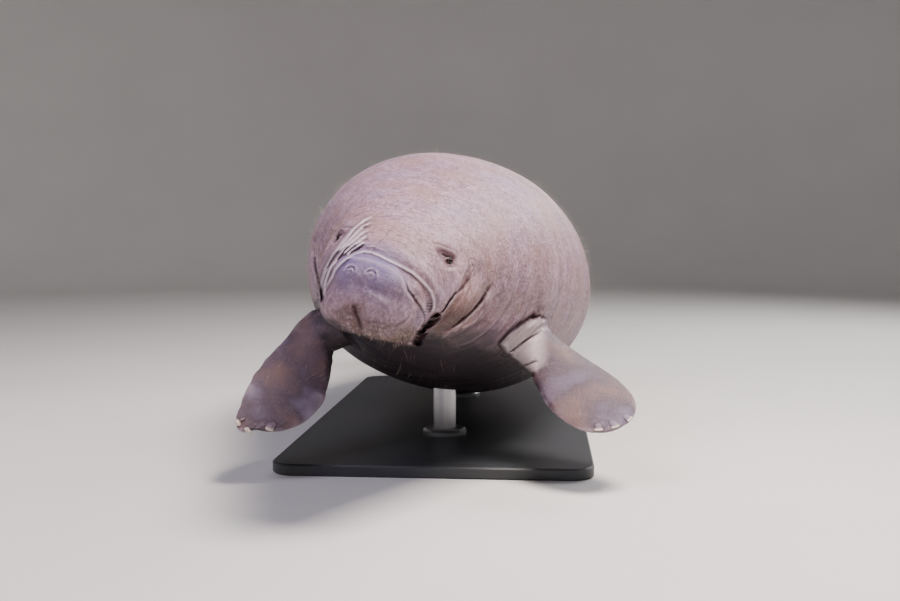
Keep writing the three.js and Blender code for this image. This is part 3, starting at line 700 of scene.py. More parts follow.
# the corner of the mouth is a deep pit, and the cheek hangs behind it in two heavy rolls
gap, share = traced(MOUTH_PIT)
mouth_pit = face_on * faded(share, 0.14) * (1 - ramp(np.abs(gap), 2.2, 6.5))
cheek_gap, cheek_share = traced(CHEEK_CREASE)
jowl_gap, jowl_share = traced(JOWL_CREASE)
between = ramp(-cheek_gap, 0.0, 1.5) * ramp(jowl_gap, 0.0, 1.5) * faded(jowl_share, 0.3)
roll_share = np.abs(cheek_gap) / np.maximum(np.abs(cheek_gap) + np.abs(jowl_gap), 1e-6)
carved += 5.0 * face_on * between * np.sin(math.pi * roll_share) ** 0.8
carved += 3.6 * face_on * faded(cheek_share, 0.3) * bump(cheek_gap - 6.5, 4.5)
carved += 3.4 * face_on * faded(jowl_share, 0.3) * bump(jowl_gap + 6.5, 5.0)
carved += drawn(CHEEK_CREASE, 4.6, 1.25, 0.35, 0.2) * (0.35 + 0.65 * ramp(cheek_share, 0.25, 0.5))
carved += drawn(JOWL_CREASE, 4.6, 1.2, 0.35, 0.2)
carved -= (carved + 15.0) * mouth_pit

# the crease between the right cheek and the neck, seen almost edge on
edge_on = ramp(aimed, -0.1, 0.02)
neck_on = edge_on * (1 - ramp(s, 620.0, 700.0)) * trunk_side * ramp(-x, 40.0, 70.0)
neck_on *= np.maximum(ramp(s, 380.0, 420.0), 1 - ramp(s, 110.0, 130.0))
carved -= 12.0 * neck_on * stroke(SIDE_CREASE, 1.5, 0.16)

# the bark-like wrinkles of the cheeks and the chin
ring_gap, ring_share, ring_length = near_line(drifted, MUZZLE_RING)
cheek_body, cheek_body_share, cheek_length = near_line(drifted, CHEEK_FOLD)
jowl_body, jowl_body_share, jowl_length = near_line(drifted, JOWL_FOLD)
cheek_weight = bump(np.maximum(cheek_body - 8, 0), 34.0)
jowl_weight = bump(np.maximum(jowl_body - 8, 0), 34.0)
for gap, share, length, weight, seed in (
    (cheek_body, cheek_body_share, cheek_length, cheek_weight, 31),
    (jowl_body, jowl_body_share, jowl_length, jowl_weight, 32),
):
    fold_map = np.stack([gap, share * length, np.hypot(x, z) * 0.02], -1)
    out -= 1.3 * weight * creases(fold_map, (9.0, 60.0, 40.0), seed, 0.4)
    cross_map = np.stack([share * length, gap, np.hypot(x, z) * 0.02], -1)
    out -= 0.7 * weight * creases(cross_map, (9.0, 18.0, 40.0), seed + 5, 0.35)

# the forehead and the sides of the head are faintly lined across
head = 1.0 - ramp(s, 300.0, 420.0)
crown = head * ramp(s, 90.0, 150.0)
out -= 1.2 * crown * creases(body, (16.0, 80.0, 80.0), 41, 0.35)
out -= 0.6 * crown * creases(body, (9.0, 14.0, 14.0), 42, 0.35)
out += 1.5 * crown * lumps(body, (30.0, 55.0, 55.0), 43)

# the neck and trunk carry long soft rings, the tail stock closer ones, the paddle faint rays
trunk = ramp(s, 320.0, 480.0) * trunk_side
stock = ramp(s, 1750.0, 1950.0) * (1 - ramp(s, 2300.0, 2450.0))
paddle = ramp(s, 2300.0, 2450.0)
neck = ramp(s, 300.0, 380.0) * (1 - ramp(s, 760.0, 980.0)) * trunk_side
patchy = ramp(lumps(body, (240.0, 190.0, 190.0), 57), -0.5, 0.5)
out -= 2.6 * patchy * neck * creases(body, (30.0, 150.0, 150.0), 50, 0.4)
out -= 2.8 * patchy * trunk * (1 - paddle) * creases(body, (44.0, 200.0, 200.0), 51, 0.4)
out += 3.4 * trunk * (1 - paddle) * lumps(body, (80.0, 240.0, 240.0), 52)
out += 5.0 * trunk * (1 - paddle) * lumps(body, (260.0, 200.0, 200.0), 56)
out -= 3.4 * stock * creases(body, (30.0, 200.0, 200.0), 53, 0.5)
out -= 2.0 * paddle * creases(body, (90.0, 26.0, 200.0), 54, 0.5)
out += 2.4 * paddle * lumps(body, (60.0, 50.0, 200.0), 55)

# each nostril is a shut valve: a short crescent slit between two lips, inside a low round rim
for side in (-1.0, 1.0):
    across = body - NOSTRIL * (1, side, 1)
    reach = np.linalg.norm(across, axis=1)
    lift = (across[:, 2] * 0.8 + across[:, 0] * 0.6) / np.maximum(reach, 1.0)
    arc = ramp(lift, 0.35, 0.8)
    wide_arc = ramp(lift, -0.45, 0.2)
    out += 1.0 * wide_arc * bump(reach - 13.0, 2.2)
    out -= 3.4 * arc * bump(reach - 9.3, 1.25)
    out += 1.5 * arc * bump(reach - 6.2, 1.9)
    out += 1.6 * bump(reach, 8.0)
    out -= 0.5 * (1 - wide_arc) * bump(reach - 12.0, 2.6)
    out -= 0.6 * bump(reach, 9.0) * creases(body, (4.0, 3.5, 9.0), 27, 0.4)

# the flippers' roots are ringed by armpit folds, and their skin is finely lined across
root_fold = np.cos(2 * math.pi * join_gap / 19.0 + 1.2 * lumps(spots, 50.0, 61))
out += 1.6 * root_fold * bump(join_gap, 40.0)
out -= 1.0 * limb * creases(spots, (60.0, 60.0, 13.0), 62, 0.4)
limb_on = square_on * ramp(s, 250.0, 300.0) * (1 - ramp(s, 760.0, 860.0))
root_gap = depth_in(ROOT_BULGE)
root_on = limb_on * (x > FLIPPER_SIDE) * (1 - ramp(view[:, 0], 532.0, 552.0))
bulge = root_on * ramp(root_gap, -1.6, 4.4)
root_dark = root_on * bump(root_gap + 1.6, 1.7) * (1 - ramp(view[:, 1], 337.0, 352.0))
carved -= 5.0 * root_dark
for line, deep in zip(ROOT_CREASES, (6.5, 3.0)):
    gap, share = traced(line)
    carved += limb_on * faded(share, 0.12) * deep * (0.2 * bump(np.abs(gap) - 4.0, 2.6) - bump(gap, 1.4))
    root_dark = np.maximum(root_dark, limb_on * faded(share, 0.25) * bump(gap, 1.0))
gap, share = traced(ARMPIT)
carved += limb_on * faded(share, 0.25) * (0.8 * bump(gap + 5.0, 3.0) - 5.0 * bump(gap, 2.0))
gap, share = traced(LEADING_EDGE)
serrated = limb * limb_on * bump(np.maximum(np.abs(gap) - 2, 0), 5.0) * faded(share, 0.3)
edge_length = np.linalg.norm(np.diff(LEADING_EDGE, axis=0), axis=1).sum()
out -= 1.3 * serrated * np.cos(2 * math.pi * share * edge_length / 3.3 + lumps(spots, 20.0, 64))

# the bulge of the left flipper's root stands out and also swells towards the camera
BULGE_OUT, BULGE_AHEAD, LEAST_AIMED = 6.0, 12.0, 0.45
carved = carved / np.maximum(aimed, LEAST_AIMED) + BULGE_AHEAD * bulge
spots += facing * (out + BULGE_OUT * bulge)[:, None] - away * carved[:, None]

# the left flipper's arm is broad at its leading edge, just below its root
ARM_WIDENED = 18.0
gap, share = traced(ARM_EDGE)
arm = limb * (x > FLIPPER_SIDE) * (1 - ramp(np.abs(gap), 3.0, 24.0))
arm *= ramp(share, 0.0, 0.18) * (1 - ramp(share, 0.45, 1.0))
spots -= PICTURE_RIGHT * ARM_WIDENED * arm[:, None]

# the lids: a rim round each eye's slit with a sunk pocket behind it, under a heavy sloping fold
SLIT_LONG, SLIT_UPPER, SLIT_LOWER = 10.5, 4.6, 7.0  # half the opening's length, its two heights
LID_STAND = 0.7  # how far the lid's rim stands proud of the ball
EYE_DROP = {"eye_left": 7.0, "eye_right": 0.0}  # how much lower the photo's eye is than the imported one
BROW_TILT = 0.28  # how much the fold over each eye falls towards the tail
eye_rim = np.zeros(count)
eye_shade = np.zeros(count)
eye_up = spine_at(np.array([EYE_STATION]))[3][0]
for node, (middle, ball_radius) in eyes.items():
    near = np.argmin(np.linalg.norm(spots - middle, axis=1))
    around = np.linalg.norm(spots - spots[near], axis=1)
    axis = facing[around < 30.0].mean(0)
    axis /= np.linalg.norm(axis)
    back = spine_at(np.array([EYE_STATION]))[1][0] - 0.30 * eye_up
    back -= axis * (back @ axis)
    back /= np.linalg.norm(back)
    over = np.cross(back, axis)
    over *= np.sign(over[2])
    middle = middle - over * EYE_DROP[node]
    eyes[node] = (middle, ball_radius)
    offset = spots - middle
    far, high, level = offset @ back, offset @ over, offset @ axis
    close = (np.hypot(far, high) < 80.0) & (level > -40.0)
    tall = np.where(high > 0, SLIT_UPPER, SLIT_LOWER)
    ring = np.hypot(far / SLIT_LONG, high / tall)
    angle = np.arctan2(high / tall, far / SLIT_LONG)
    edge = np.hypot(SLIT_LONG * np.cos(angle), tall * np.sin(angle))
    rim_level = np.sqrt(np.maximum(ball_radius**2 - edge**2, 16.0)) + LID_STAND
    upper = ramp(np.sin(angle), -0.2, 0.5)
    shaky = lumps(spots, 13.0, 72)
    hang = high - (12.6 + 0.65 * EYE_DROP[node] - BROW_TILT * far)
    long = np.exp(-(((far + 8.0) / 30.0) ** 4))
    brow = long * bump(hang, 6.8)
    under_brow = np.exp(-(((far + 2.0) / 19.0) ** 4)) * bump(hang + 8.6, 2.3)
    above_brow = long * bump(hang - 12.0, 3.0)
    pouch = np.exp(-((far / 15.0) ** 2) - ((high + 13.0) / 3.6) ** 2)
    swell = np.exp(-((far / 20.0) ** 2) - ((high + 20.0) / 6.0) ** 2)
    shaped = level + 6.4 * brow - 3.6 * under_brow - 2.0 * above_brow - 1.2 * pouch + 1.2 * swell
    shaped -= 0.7 * np.cos(2 * math.pi * hang / 4.6 + 1.5 * shaky) * brow
    corner = bump(np.maximum(np.abs(far) - 14.0, 0), 12.0) * ramp(np.abs(far), 8, 14) * bump(high, 16)
    shaped -= 0.9 * corner * (0.5 + 0.5 * np.cos(2 * math.pi * high / 5.5 + 2 * shaky + far * 0.05))
    lid = bump(np.maximum(ring - 1.15, 0.0), 0.75 - 0.35 * upper)
    shaped += (rim_level + 1.6 * upper - shaped) * lid
    pocket = 1.0 - ramp(ring, 0.98, 1.08)
    shaped = shaped * (1 - pocket) - 3.0 * pocket
    spots[close] += (axis * (shaped - level)[:, None])[close]
    eye_rim += close * bump(np.maximum(ring - 1.12, 0), 0.16)
    shade = 0.9 * bump(np.maximum(ring - 1.0, 0), 0.55) + 0.8 * brow + under_brow + 0.3 * corner
    eye_shade += close * shade
put_places(skin.data, spots)

# what the paint needs: how hollow each point is, where it lies, and the lie of the wrinkles
select_only(skin)
bpy.ops.object.shade_smooth()
facing = outwards()
hollow = ((spread(spots, ends, count) - spots) * facing).sum(1)
size = np.linalg.norm(spots[ends[:, 0]] - spots[ends[:, 1]], axis=1)
sizes = np.bincount(ends.ravel(), np.repeat(size, 2), count) / np.bincount(ends.ravel(), minlength=count)
hollow = (hollow / np.maximum(sizes, 0.5))[:, None]
for _ in range(2):
    hollow = 0.5 * hollow + 0.5 * spread(hollow, ends, count)

# the painted lines are laid where they are seen on the finished sculpture
view, away = seen(spots)
aimed = -(facing * away).sum(1)
square_on = ramp(aimed, 0.0, 0.12)
face_on = square_on * (1 - ramp(s, *FACE_END)) * trunk_side
body_on = square_on * (s > 300.0)
ridge_cover, ridge_crest = ridges()
eye_shade += 0.85 * face_on * stroke(BROW_SHADE, 2.4, 0.25)
gap, share = traced(LIP_FRINGE)
fringe = face_on * faded(share, 0.06) * bump(np.maximum(np.abs(gap + 4) - 5, 0), 5.0)
fringe = np.maximum(fringe, 0.9 * face_on * stroke(CLEFT, 9.0, 0.3))
cleft_dark = face_on * stroke(CLEFT, 1.9, 0.3)
cheek_gap, cheek_share = traced(CHEEK_CREASE)
jowl_gap, jowl_share = traced(JOWL_CREASE)
between = ramp(-cheek_gap, 0.0, 2.5) * ramp(jowl_gap, -1.0, 1.5)

# painted shade in the deepest folds and pits, from 0 to 1, with the shaded leading edge of the left
# flipper and a small dark mark
gap, share = traced(MOUTH_PIT)
deep = face_on * faded(share, 0.12) * (1 - ramp(np.abs(gap), 1.0, 5.0))
gap, share = traced(SIDE_CREASE)
neck_on = ramp(aimed, -0.05, 0.05) * (1 - ramp(s, 620.0, 700.0)) * ramp(-x, 40.0, 70.0)
for dark in (
    neck_on * faded(share, 0.1) * bump(gap, 0.8 + 1.2 * share),
    0.5 * cleft_dark,
    0.35 * face_on * stroke(PAD_CREASE, 0.9, 0.3),
    0.75 * root_dark,
    0.55 * face_on * ramp(cheek_share, 0.3, 0.6) * bump(cheek_gap, 0.9),
    0.55 * face_on * ramp(jowl_share, 0.1, 0.4) * bump(jowl_gap, 0.8),
    0.5 * body_on * stroke(ARMPIT, 1.8, 0.3),
    0.5 * body_on * stroke(DARK_MARK, 1.3, 0.4),
    0.5 * square_on * limb * stroke(LEADING_EDGE, 2.2, 0.2, -0.5),
):
    deep = np.maximum(deep, dark)
bands = lumps(body, (34.0, 260.0, 260.0), 58) * trunk_side
bands *= ramp(s, 420.0, 600.0) * (1 - ramp(s, 1300.0, 1700.0))
# painted shade: the trunk's faces that turn down and away from a light above the animal's left are
# painted dark, and so are the flippers' downward faces
shaded = -facing[:, 2] - 0.3 * np.maximum(facing[:, 0], 0)
under = ramp(shaded, 0.2, 0.62) * ramp(-z - 0.1 * np.maximum(x, 0), 20.0, 110.0) * trunk_side
under += ramp(-facing[:, 2], 0.0, 0.45) * limb
left_root = limb * (x > 0)
masks = {
    "straight": body[:, [1, 0, 2]] / 1000.0,
    # how hollow or high each point is, for painted shade in the hollows and painted highlights on the
    # crests
    "fold": hollow[:, 0],
    # the left flipper's root bulge is kept out of the limb's dark coat and gets a painted highlight
    "limb": limb * (1 - 0.9 * bulge),
    "root_bulge_highlight": bulge,
    "pads": pads,
    "cheeks": bump(np.linalg.norm(paired - (235.0, 140.0, -75.0), axis=1), 85.0),
    # painted light: a cool violet-blue tint on the top of the muzzle, as if lit from above
    "muzzle_top_cool_light": bump(np.linalg.norm(paired - (42.0, 26.0, 58.0), axis=1), 50.0),
    "eye_rim": np.clip(eye_rim, 0, 1),
    "eye_shade": np.clip(eye_shade, 0, 1),
    "rim_light": face_on * stroke(MUZZLE_EDGE, 1.0, 0.05, 0.2),
    # painted highlight on the ridges' crests and painted shade in their valleys
    "ridge_crest": ridge_crest * face_on,
    "ridge_valley_shade": np.clip(ridge_cover - 1.5 * ridge_crest, 0, 1) * face_on,
    "cheek_shadow": face_on * between * ramp(view[:, 1], 294.0, 318.0),
    # painted shadow inside the outline under the head and on the right flipper's downward strip
    "throat_shadow": ramp(depth_in(THROAT_SHADOW), -2.5, 3.5) * ramp(aimed, -0.2, 0.0) * (1 - left_root),
    "pale_bands": ramp(bands, 0.1, 0.8),
    "dark_bands": ramp(-bands, 0.1, 0.8),
    "fringe": fringe,
    "stubble": np.clip(pads + fringe, 0, 1),
    "underside_shade": under,
    "deep": deep,
}
for name, gap, share, length, weight in (
    ("ring_lines", ring_gap, ring_share, ring_length, np.clip(ridge_cover + saddle, 0, 1) * face_on),
    ("cheek_lines", cheek_body, cheek_body_share, cheek_length, cheek_weight),
    ("jowl_lines", jowl_body, jowl_body_share, jowl_length, jowl_weight),
):
    masks[name] = np.stack([gap, share * length + np.sign(x) * 500.0, 1000 * weight], -1) / 1000
for name, values in masks.items():
    flat = values.ndim == 1
    kept = skin.data.attributes.new(name, "FLOAT" if flat else "FLOAT_VECTOR", "POINT")
    values = np.ascontiguousarray(values, np.float32).ravel()
    kept.data.foreach_set("value" if flat else "vector", values)


# The hide's paint: acrylic over resin, built up in thin mauve, brown and grey coats, with painted shade
# in the wrinkles, creases, underside and throat and painted highlights on the high folds, then matt
# varnished, so it is dull with a soft sheen on the high folds.
def linear(code):
    """A hex colour as linear red, green, blue and alpha."""
    parts = [int(code[i : i + 2], 16) / 255 for i in (1, 3, 5)]
    return [p / 12.92 if p <= 0.04045 else ((p + 0.055) / 1.055) ** 2.4 for p in parts] + [1.0]


def add(tree, kind, sockets=None, stops=(), **settings):
    """Adds a node with its settings and a ramp's stops, its sockets filled with values or links."""
    made = tree.nodes.new("ShaderNode" + kind)
    for key, value in settings.items():
        setattr(made, key, value)
    for number, (position, code) in enumerate(stops):
        elements = made.color_ramp.elements
        stop = elements[number] if number < 2 else elements.new(position)
        stop.position = position
        stop.color = linear(code)
    for key, value in (sockets or {}).items():
        if isinstance(value, bpy.types.NodeSocket):
            tree.links.new(value, made.inputs[key])
        else:
            made.inputs[key].default_value = value
    return made


def new_material(name):
    """An empty material and its node tree."""
    material = bpy.data.materials.new(name)
    material.use_nodes = True
    material.node_tree.nodes.clear()
    return material, material.node_tree


def finish(tree, sockets):
    """Ends a material with its shader."""
    made = add(tree, "BsdfPrincipled", sockets)
    add(tree, "OutputMaterial", {"Surface": made.outputs["BSDF"]})


hide, t = new_material("painted_resin_hide")
lie = add(t, "Attribute", attribute_name="straight").outputs["Vector"]
depth = add(t, "Attribute", attribute_name="fold").outputs["Fac"]
wander = add(t, "TexNoise", {"Vector": lie, "Scale": 16.0, "Detail": 2.0}).outputs["Color"]
shaken = {0: wander, 1: (0.022, 0.022, 0.022), 2: lie}
shaken = add(t, "VectorMath", shaken, operation="MULTIPLY_ADD").outputs["Vector"]
rings = add(t, "Mapping", {"Vector": shaken, "Scale": (1.0, 2.3, 1.0)}).outputs["Vector"]

# the hide's crackle: faint plates about 10 mm across with finer ones of 5 mm inside them
cracks = []
for per_metre, edge in ((95.0, 0.16), (200.0, 0.2)):
    plates = add(t, "TexVoronoi", {"Vector": rings, "Scale": per_metre}, feature="DISTANCE_TO_EDGE")
    top = add(t, "MapRange", {"Value": plates.outputs["Distance"], "From Max": edge})
    cracks.append(top.outputs["Result"])
plate_top, small_top = cracks
grain = add(t, "TexNoise", {"Vector": shaken, "Scale": 420.0, "Detail": 3.0}).outputs["Fac"]
on_limb = add(t, "Attribute", attribute_name="limb").outputs["Fac"]
plate_depth = add(t, "MapRange", {"Value": on_limb, "To Min": 0.20, "To Max": 0.04}).outputs["Result"]
height = add(t, "Math", {0: plate_top, 1: plate_depth}, operation="MULTIPLY").outputs["Value"]

# fine wrinkles drawn along the creases: each map holds the way across, the way along and a weight
layers = [(small_top, 0.22), (grain, 0.40)]
for name, across, length, strength in (
    ("ring_lines", 0.0070, 0.045, 1.0),
    ("cheek_lines", 0.0080, 0.040, 1.2),
    ("jowl_lines", 0.0080, 0.040, 1.2),
):
    line = add(t, "Attribute", attribute_name=name).outputs["Vector"]
    parts = add(t, "SeparateXYZ", {"Vector": line}).outputs
    flat = add(t, "CombineXYZ", {"X": parts["X"], "Y": parts["Y"]}).outputs["Vector"]
    flat = add(t, "Mapping", {"Vector": flat, "Scale": (1 / across, 1 / length, 1.0)}).outputs["Vector"]
    wrinkle = add(t, "TexNoise", {"Vector": flat, "Scale": 1.0, "Detail": 2.0}).outputs["Fac"]
    middle = add(t, "Math", {0: wrinkle, 1: 0.5}, operation="SUBTRACT").outputs["Value"]
    middle = add(t, "Math", {0: middle}, operation="ABSOLUTE").outputs["Value"]
    crest = add(t, "MapRange", {"Value": middle, "From Max": 0.11}).outputs["Result"]
    weighted = add(t, "Math", {0: parts["Z"], 1: strength}, operation="MULTIPLY").outputs["Value"]
    layers.append((crest, weighted))

# hair pits about 10 mm apart, and on the pads of the lip a stubble of them 3 mm apart
on_pads = add(t, "Attribute", attribute_name="stubble").outputs["Fac"]
holes = []
for where, per_metre, strewn, low, high in (
    (shaken, 100.0, 0.9, 0.06, 0.13),
    (lie, 330.0, 0.85, 0.12, 0.42),
):
    spread_pits = add(t, "TexVoronoi", {"Vector": where, "Scale": per_metre, "Randomness": strewn})
    hole = {"Value": spread_pits.outputs["Distance"], "From Min": low, "From Max": high}
    hole = add(t, "MapRange", {**hole, "To Min": 1.0, "To Max": 0.0})
    holes.append(hole.outputs["Result"])
pit = holes[0]
stub = add(t, "Math", {0: holes[1], 1: on_pads}, operation="MULTIPLY").outputs["Value"]
for layer, amount in layers + [(pit, -0.5), (stub, -0.9)]:
    height = add(t, "Math", {0: layer, 1: amount, 2: height}, operation="MULTIPLY_ADD").outputs["Value"]
relief = add(t, "Bump", {"Height": height, "Strength": 0.75, "Distance": 0.0022})

# the colours: a brown-mauve ground under coats that are each laid on by a value or a mask
broad = add(t, "TexNoise", {"Vector": lie, "Scale": 4.5, "Detail": 4.0, "Roughness": 0.6}).outputs["Fac"]
paint = add(t, "ValToRGB", {"Fac": broad}, ((0.34, "#694f5a"), (0.66, "#927580"))).outputs["Color"]
mottle = {"Vector": shaken, "Scale": 34.0, "Detail": 5.0, "Roughness": 0.65}
mottle = add(t, "TexNoise", mottle).outputs["Fac"]
flecks = {"Vector": shaken, "Scale": 130.0, "Detail": 4.0, "Roughness": 0.7}
flecks = add(t, "TexNoise", flecks).outputs["Fac"]
patches = add(t, "TexNoise", {"Vector": lie, "Scale": 9.0, "Detail": 3.0}).outputs["Fac"]
top_light_tint = add(t, "SeparateXYZ", {"Vector": lie}).outputs["Z"]
crackle_shade = {"Value": plate_top, "From Max": 0.8, "To Min": plate_depth, "To Max": 0.0}
crackle_shade = add(t, "MapRange", crackle_shade).outputs["Result"]
MIX_AMOUNT, MIX_UNDER, MIX_OVER, MIX_RESULT = 0, 6, 7, 2  # the colour sockets of a Mix node
for source, colour, most, low, high in (
    (mottle, "#a48796", 1.0, 0.42, 0.60),
    # painted light: the upper body is laid paler and more violet, as if lit from above
    (top_light_tint, "#9e8299", 0.36, -0.05, 0.30),
    (flecks, "#5f454c", 0.7, 0.50, 0.64),
    (flecks, "#cab1bb", 0.5, 0.47, 0.34),
    ("limb", "#483a44", 0.88, 0.0, 1.0),
    (patches, "#8c6a58", 0.42, 0.50, 0.68),
    (patches, "#8f82a0", 0.42, 0.48, 0.32),
    ("pale_bands", "#cbb9c1", 0.2, 0.0, 1.0),
    ("dark_bands", "#7f6a6e", 0.2, 0.0, 1.0),
    ("cheeks", "#99705e", 0.6, 0.0, 1.0),
    # painted shade on the underside of the trunk and the flippers
    ("underside_shade", "#241b1e", 0.9, 0.0, 1.0),
    # painted light: a cool violet-blue tint on the top of the muzzle, as if lit from above
    ("muzzle_top_cool_light", "#594c82", 0.88, 0.0, 1.0),
    ("pads", "#75606d", 0.62, 0.0, 1.0),
    ("fringe", "#4c322d", 0.66, 0.0, 1.0),
    # painted shade: a darker tone in the fine cracks of the hide
    (crackle_shade, "#7c5f68", 1.0, 0.0, 1.0),
    # painted shade in the hollows of the folds
    (depth, "#3a2329", 0.88, 0.015, 0.17),
    # painted highlight on the high crests of the folds
    (depth, "#d4bfc9", 0.6, -0.02, -0.15),
    (pit, "#5f474d", 0.4, 0.0, 1.0),
    (stub, "#543a44", 0.6, 0.0, 1.0),
    # painted shade in the valleys between the ridges and a painted highlight on their crests
    ("ridge_valley_shade", "#664d59", 0.66, 0.0, 1.0),
    ("ridge_crest", "#eadce6", 0.5, 0.0, 1.0),
    ("rim_light", "#eee2ea", 0.28, 0.0, 1.0),
    ("cheek_shadow", "#3b2824", 0.72, 0.0, 1.0),
    # painted highlight on the bulge of the left flipper's root
    ("root_bulge_highlight", "#dccfd2", 0.5, 0.0, 1.0),
    ("eye_shade", "#573539", 0.82, 0.0, 1.0),
    ("eye_rim", "#3d2425", 0.9, 0.0, 1.0),
    # painted shadow under the head and on the right flipper's downward strip
    ("throat_shadow", "#1b131a", 0.86, 0.0, 1.0),
    # painted shade in the deepest creases and pits and along the left flipper's leading edge
    ("deep", "#1f1316", 0.92, 0.0, 1.0),
):
    if isinstance(source, str):
        source = add(t, "Attribute", attribute_name=source).outputs["Fac"]
    amount = add(t, "MapRange", {"Value": source, "From Min": low, "From Max": high, "To Max": most})
    mixed = {MIX_AMOUNT: amount.outputs["Result"], MIX_UNDER: paint, MIX_OVER: linear(colour)}
    paint = add(t, "Mix", mixed, data_type="RGBA").outputs[MIX_RESULT]
sheen = add(t, "MapRange", {"Value": mottle, "To Min": 0.42, "To Max": 0.62}).outputs["Result"]
# the deepest folds, the last mask, are matt, so they stay dark where they are seen aslant
dull = add(t, "MapRange", {"Value": source, "From Max": 0.5, "To Min": 0.5, "To Max": 0.05})
finish(
    t,
    {
        "Base Color": paint,
        "Roughness": sheen,
        "IOR": 1.45,
        "Specular IOR Level": dull.outputs["Result"],
        "Normal": relief.outputs["Normal"],
    },
)
skin.data.materials.clear()
skin.data.materials.append(hide)
skin.data.polygons.foreach_set("material_index", np.zeros(len(skin.data.polygons), np.int32))
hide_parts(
    "head", "neck", "torso", "tail_stock", "tail_paddle", "flipper_left", "flipper_right",
    "eyelids_left", "eyelids_right",
)
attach(skin, "root")


# The eyes: blown glass balls, dark brown with a black pupil under a bulged clear front, set in
# their pockets behind the lids.
eye_glass, t = new_material("blown_dark_glass")
turned = add(t, "Attribute", attribute_name="from_axis").outputs["Fac"]
streaks = add(t, "TexCoord").outputs["Object"]
streaks = add(t, "TexNoise", {"Vector": streaks, "Scale": 900.0, "Detail": 2.0}).outputs["Fac"]
ragged = add(t, "Math", {0: streaks, 1: 0.12, 2: turned}, operation="MULTIPLY_ADD").outputs["Value"]
shades = ((0.30, "#050404"), (0.38, "#22150f"), (0.62, "#1c1210"), (0.74, "#3c2c28"))
iris = add(t, "ValToRGB", {"Fac": ragged}, shades).outputs["Color"]
finish(t, {"Base Color": iris, "Roughness": 0.04, "IOR": 1.38})
for node, (middle, ball_radius) in eyes.items():
    axis = Vector((middle - posed(straightened(middle[None]) * (1, 0, 0))[0])).normalized()
    bpy.ops.object.select_all(action="DESELECT")
    bpy.ops.mesh.primitive_uv_sphere_add(segments=48, ring_count=32, radius=ball_radius / 1000.0)
    ball = bpy.context.object
    ball.name = "glass_" + node
    spots_here = places(ball.data)
    select_points(ball, spots_here[:, 2] > ball_radius * 0.8)
    bpy.ops.object.mode_set(mode="EDIT")
    bpy.ops.transform.resize(value=(0.94, 0.94, 1.05), center_override=(0, 0, ball_radius * 0.0008))
    bpy.ops.object.mode_set(mode="OBJECT")
    spots_here = places(ball.data)
    turn = np.arccos(np.clip(spots_here[:, 2] / np.linalg.norm(spots_here, axis=1), -1, 1))
    kept = ball.data.attributes.new("from_axis", "FLOAT", "POINT")
    kept.data.foreach_set("value", np.clip(turn / 1.6, 0, 1).astype(np.float32))
    ball.rotation_euler = axis.to_track_quat("Z", "Y").to_euler()
    ball.location = Vector(middle / 1000.0)
    select_only(ball)
    bpy.ops.object.transform_apply(location=True, rotation=True, scale=True)
    bpy.ops.object.shade_smooth()
    ball.data.materials.append(eye_glass)
    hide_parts(node)
    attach(ball, "root")


# The nails: three flat horn plates on the end of each flipper, cast in tinted resin, their
# roots set in the hide.
NAIL_SIZE = (19.0, 12.0, 5.0)  # millimetres: width, length, height
NAIL_FORWARD = 8.5  # millimetres that the plate stands ahead of its swelling
NAILS = {
    "left": (
        ((440.4, -845.9, 166.1), (0.814, -0.500, -0.295), (-0.007, -0.517, 0.856)),
        ((410.8, -868.3, 155.4), (0.469, -0.758, -0.454), (-0.007, -0.517, 0.856)),
        ((377.7, -875.1, 150.0), (0.107, -0.852, -0.513), (-0.007, -0.517, 0.856)),
    ),
    "right": (
        ((-397.5, -838.0, 174.1), (-0.729, -0.639, -0.244), (0.381, -0.675, 0.631)),
        ((-368.2, -847.3, 150.7), (-0.398, -0.736, -0.547), (0.381, -0.675, 0.631)),
        ((-337.6, -842.2, 136.2), (-0.060, -0.699, -0.712), (0.381, -0.675, 0.631)),
    ),
}
horn, t = new_material("tinted_resin_horn")
nail_way = add(t, "UVMap", uv_map="along_nail").outputs["UV"]
grown = add(t, "Mapping", {"Vector": nail_way, "Scale": (26.0, 3.0, 1.0)}).outputs["Vector"]
fibres = add(t, "TexNoise", {"Vector": grown, "Scale": 1.0, "Detail": 3.0}).outputs["Fac"]
tone = add(t, "ValToRGB", {"Fac": fibres}, ((0.3, "#a08a7c"), (0.7, "#d8c8ba"))).outputs["Color"]
relief = add(t, "Bump", {"Height": fibres, "Strength": 0.5, "Distance": 0.0006}).outputs["Normal"]
finish(t, {"Base Color": tone, "Roughness": 0.38, "IOR": 1.54, "Normal": relief})
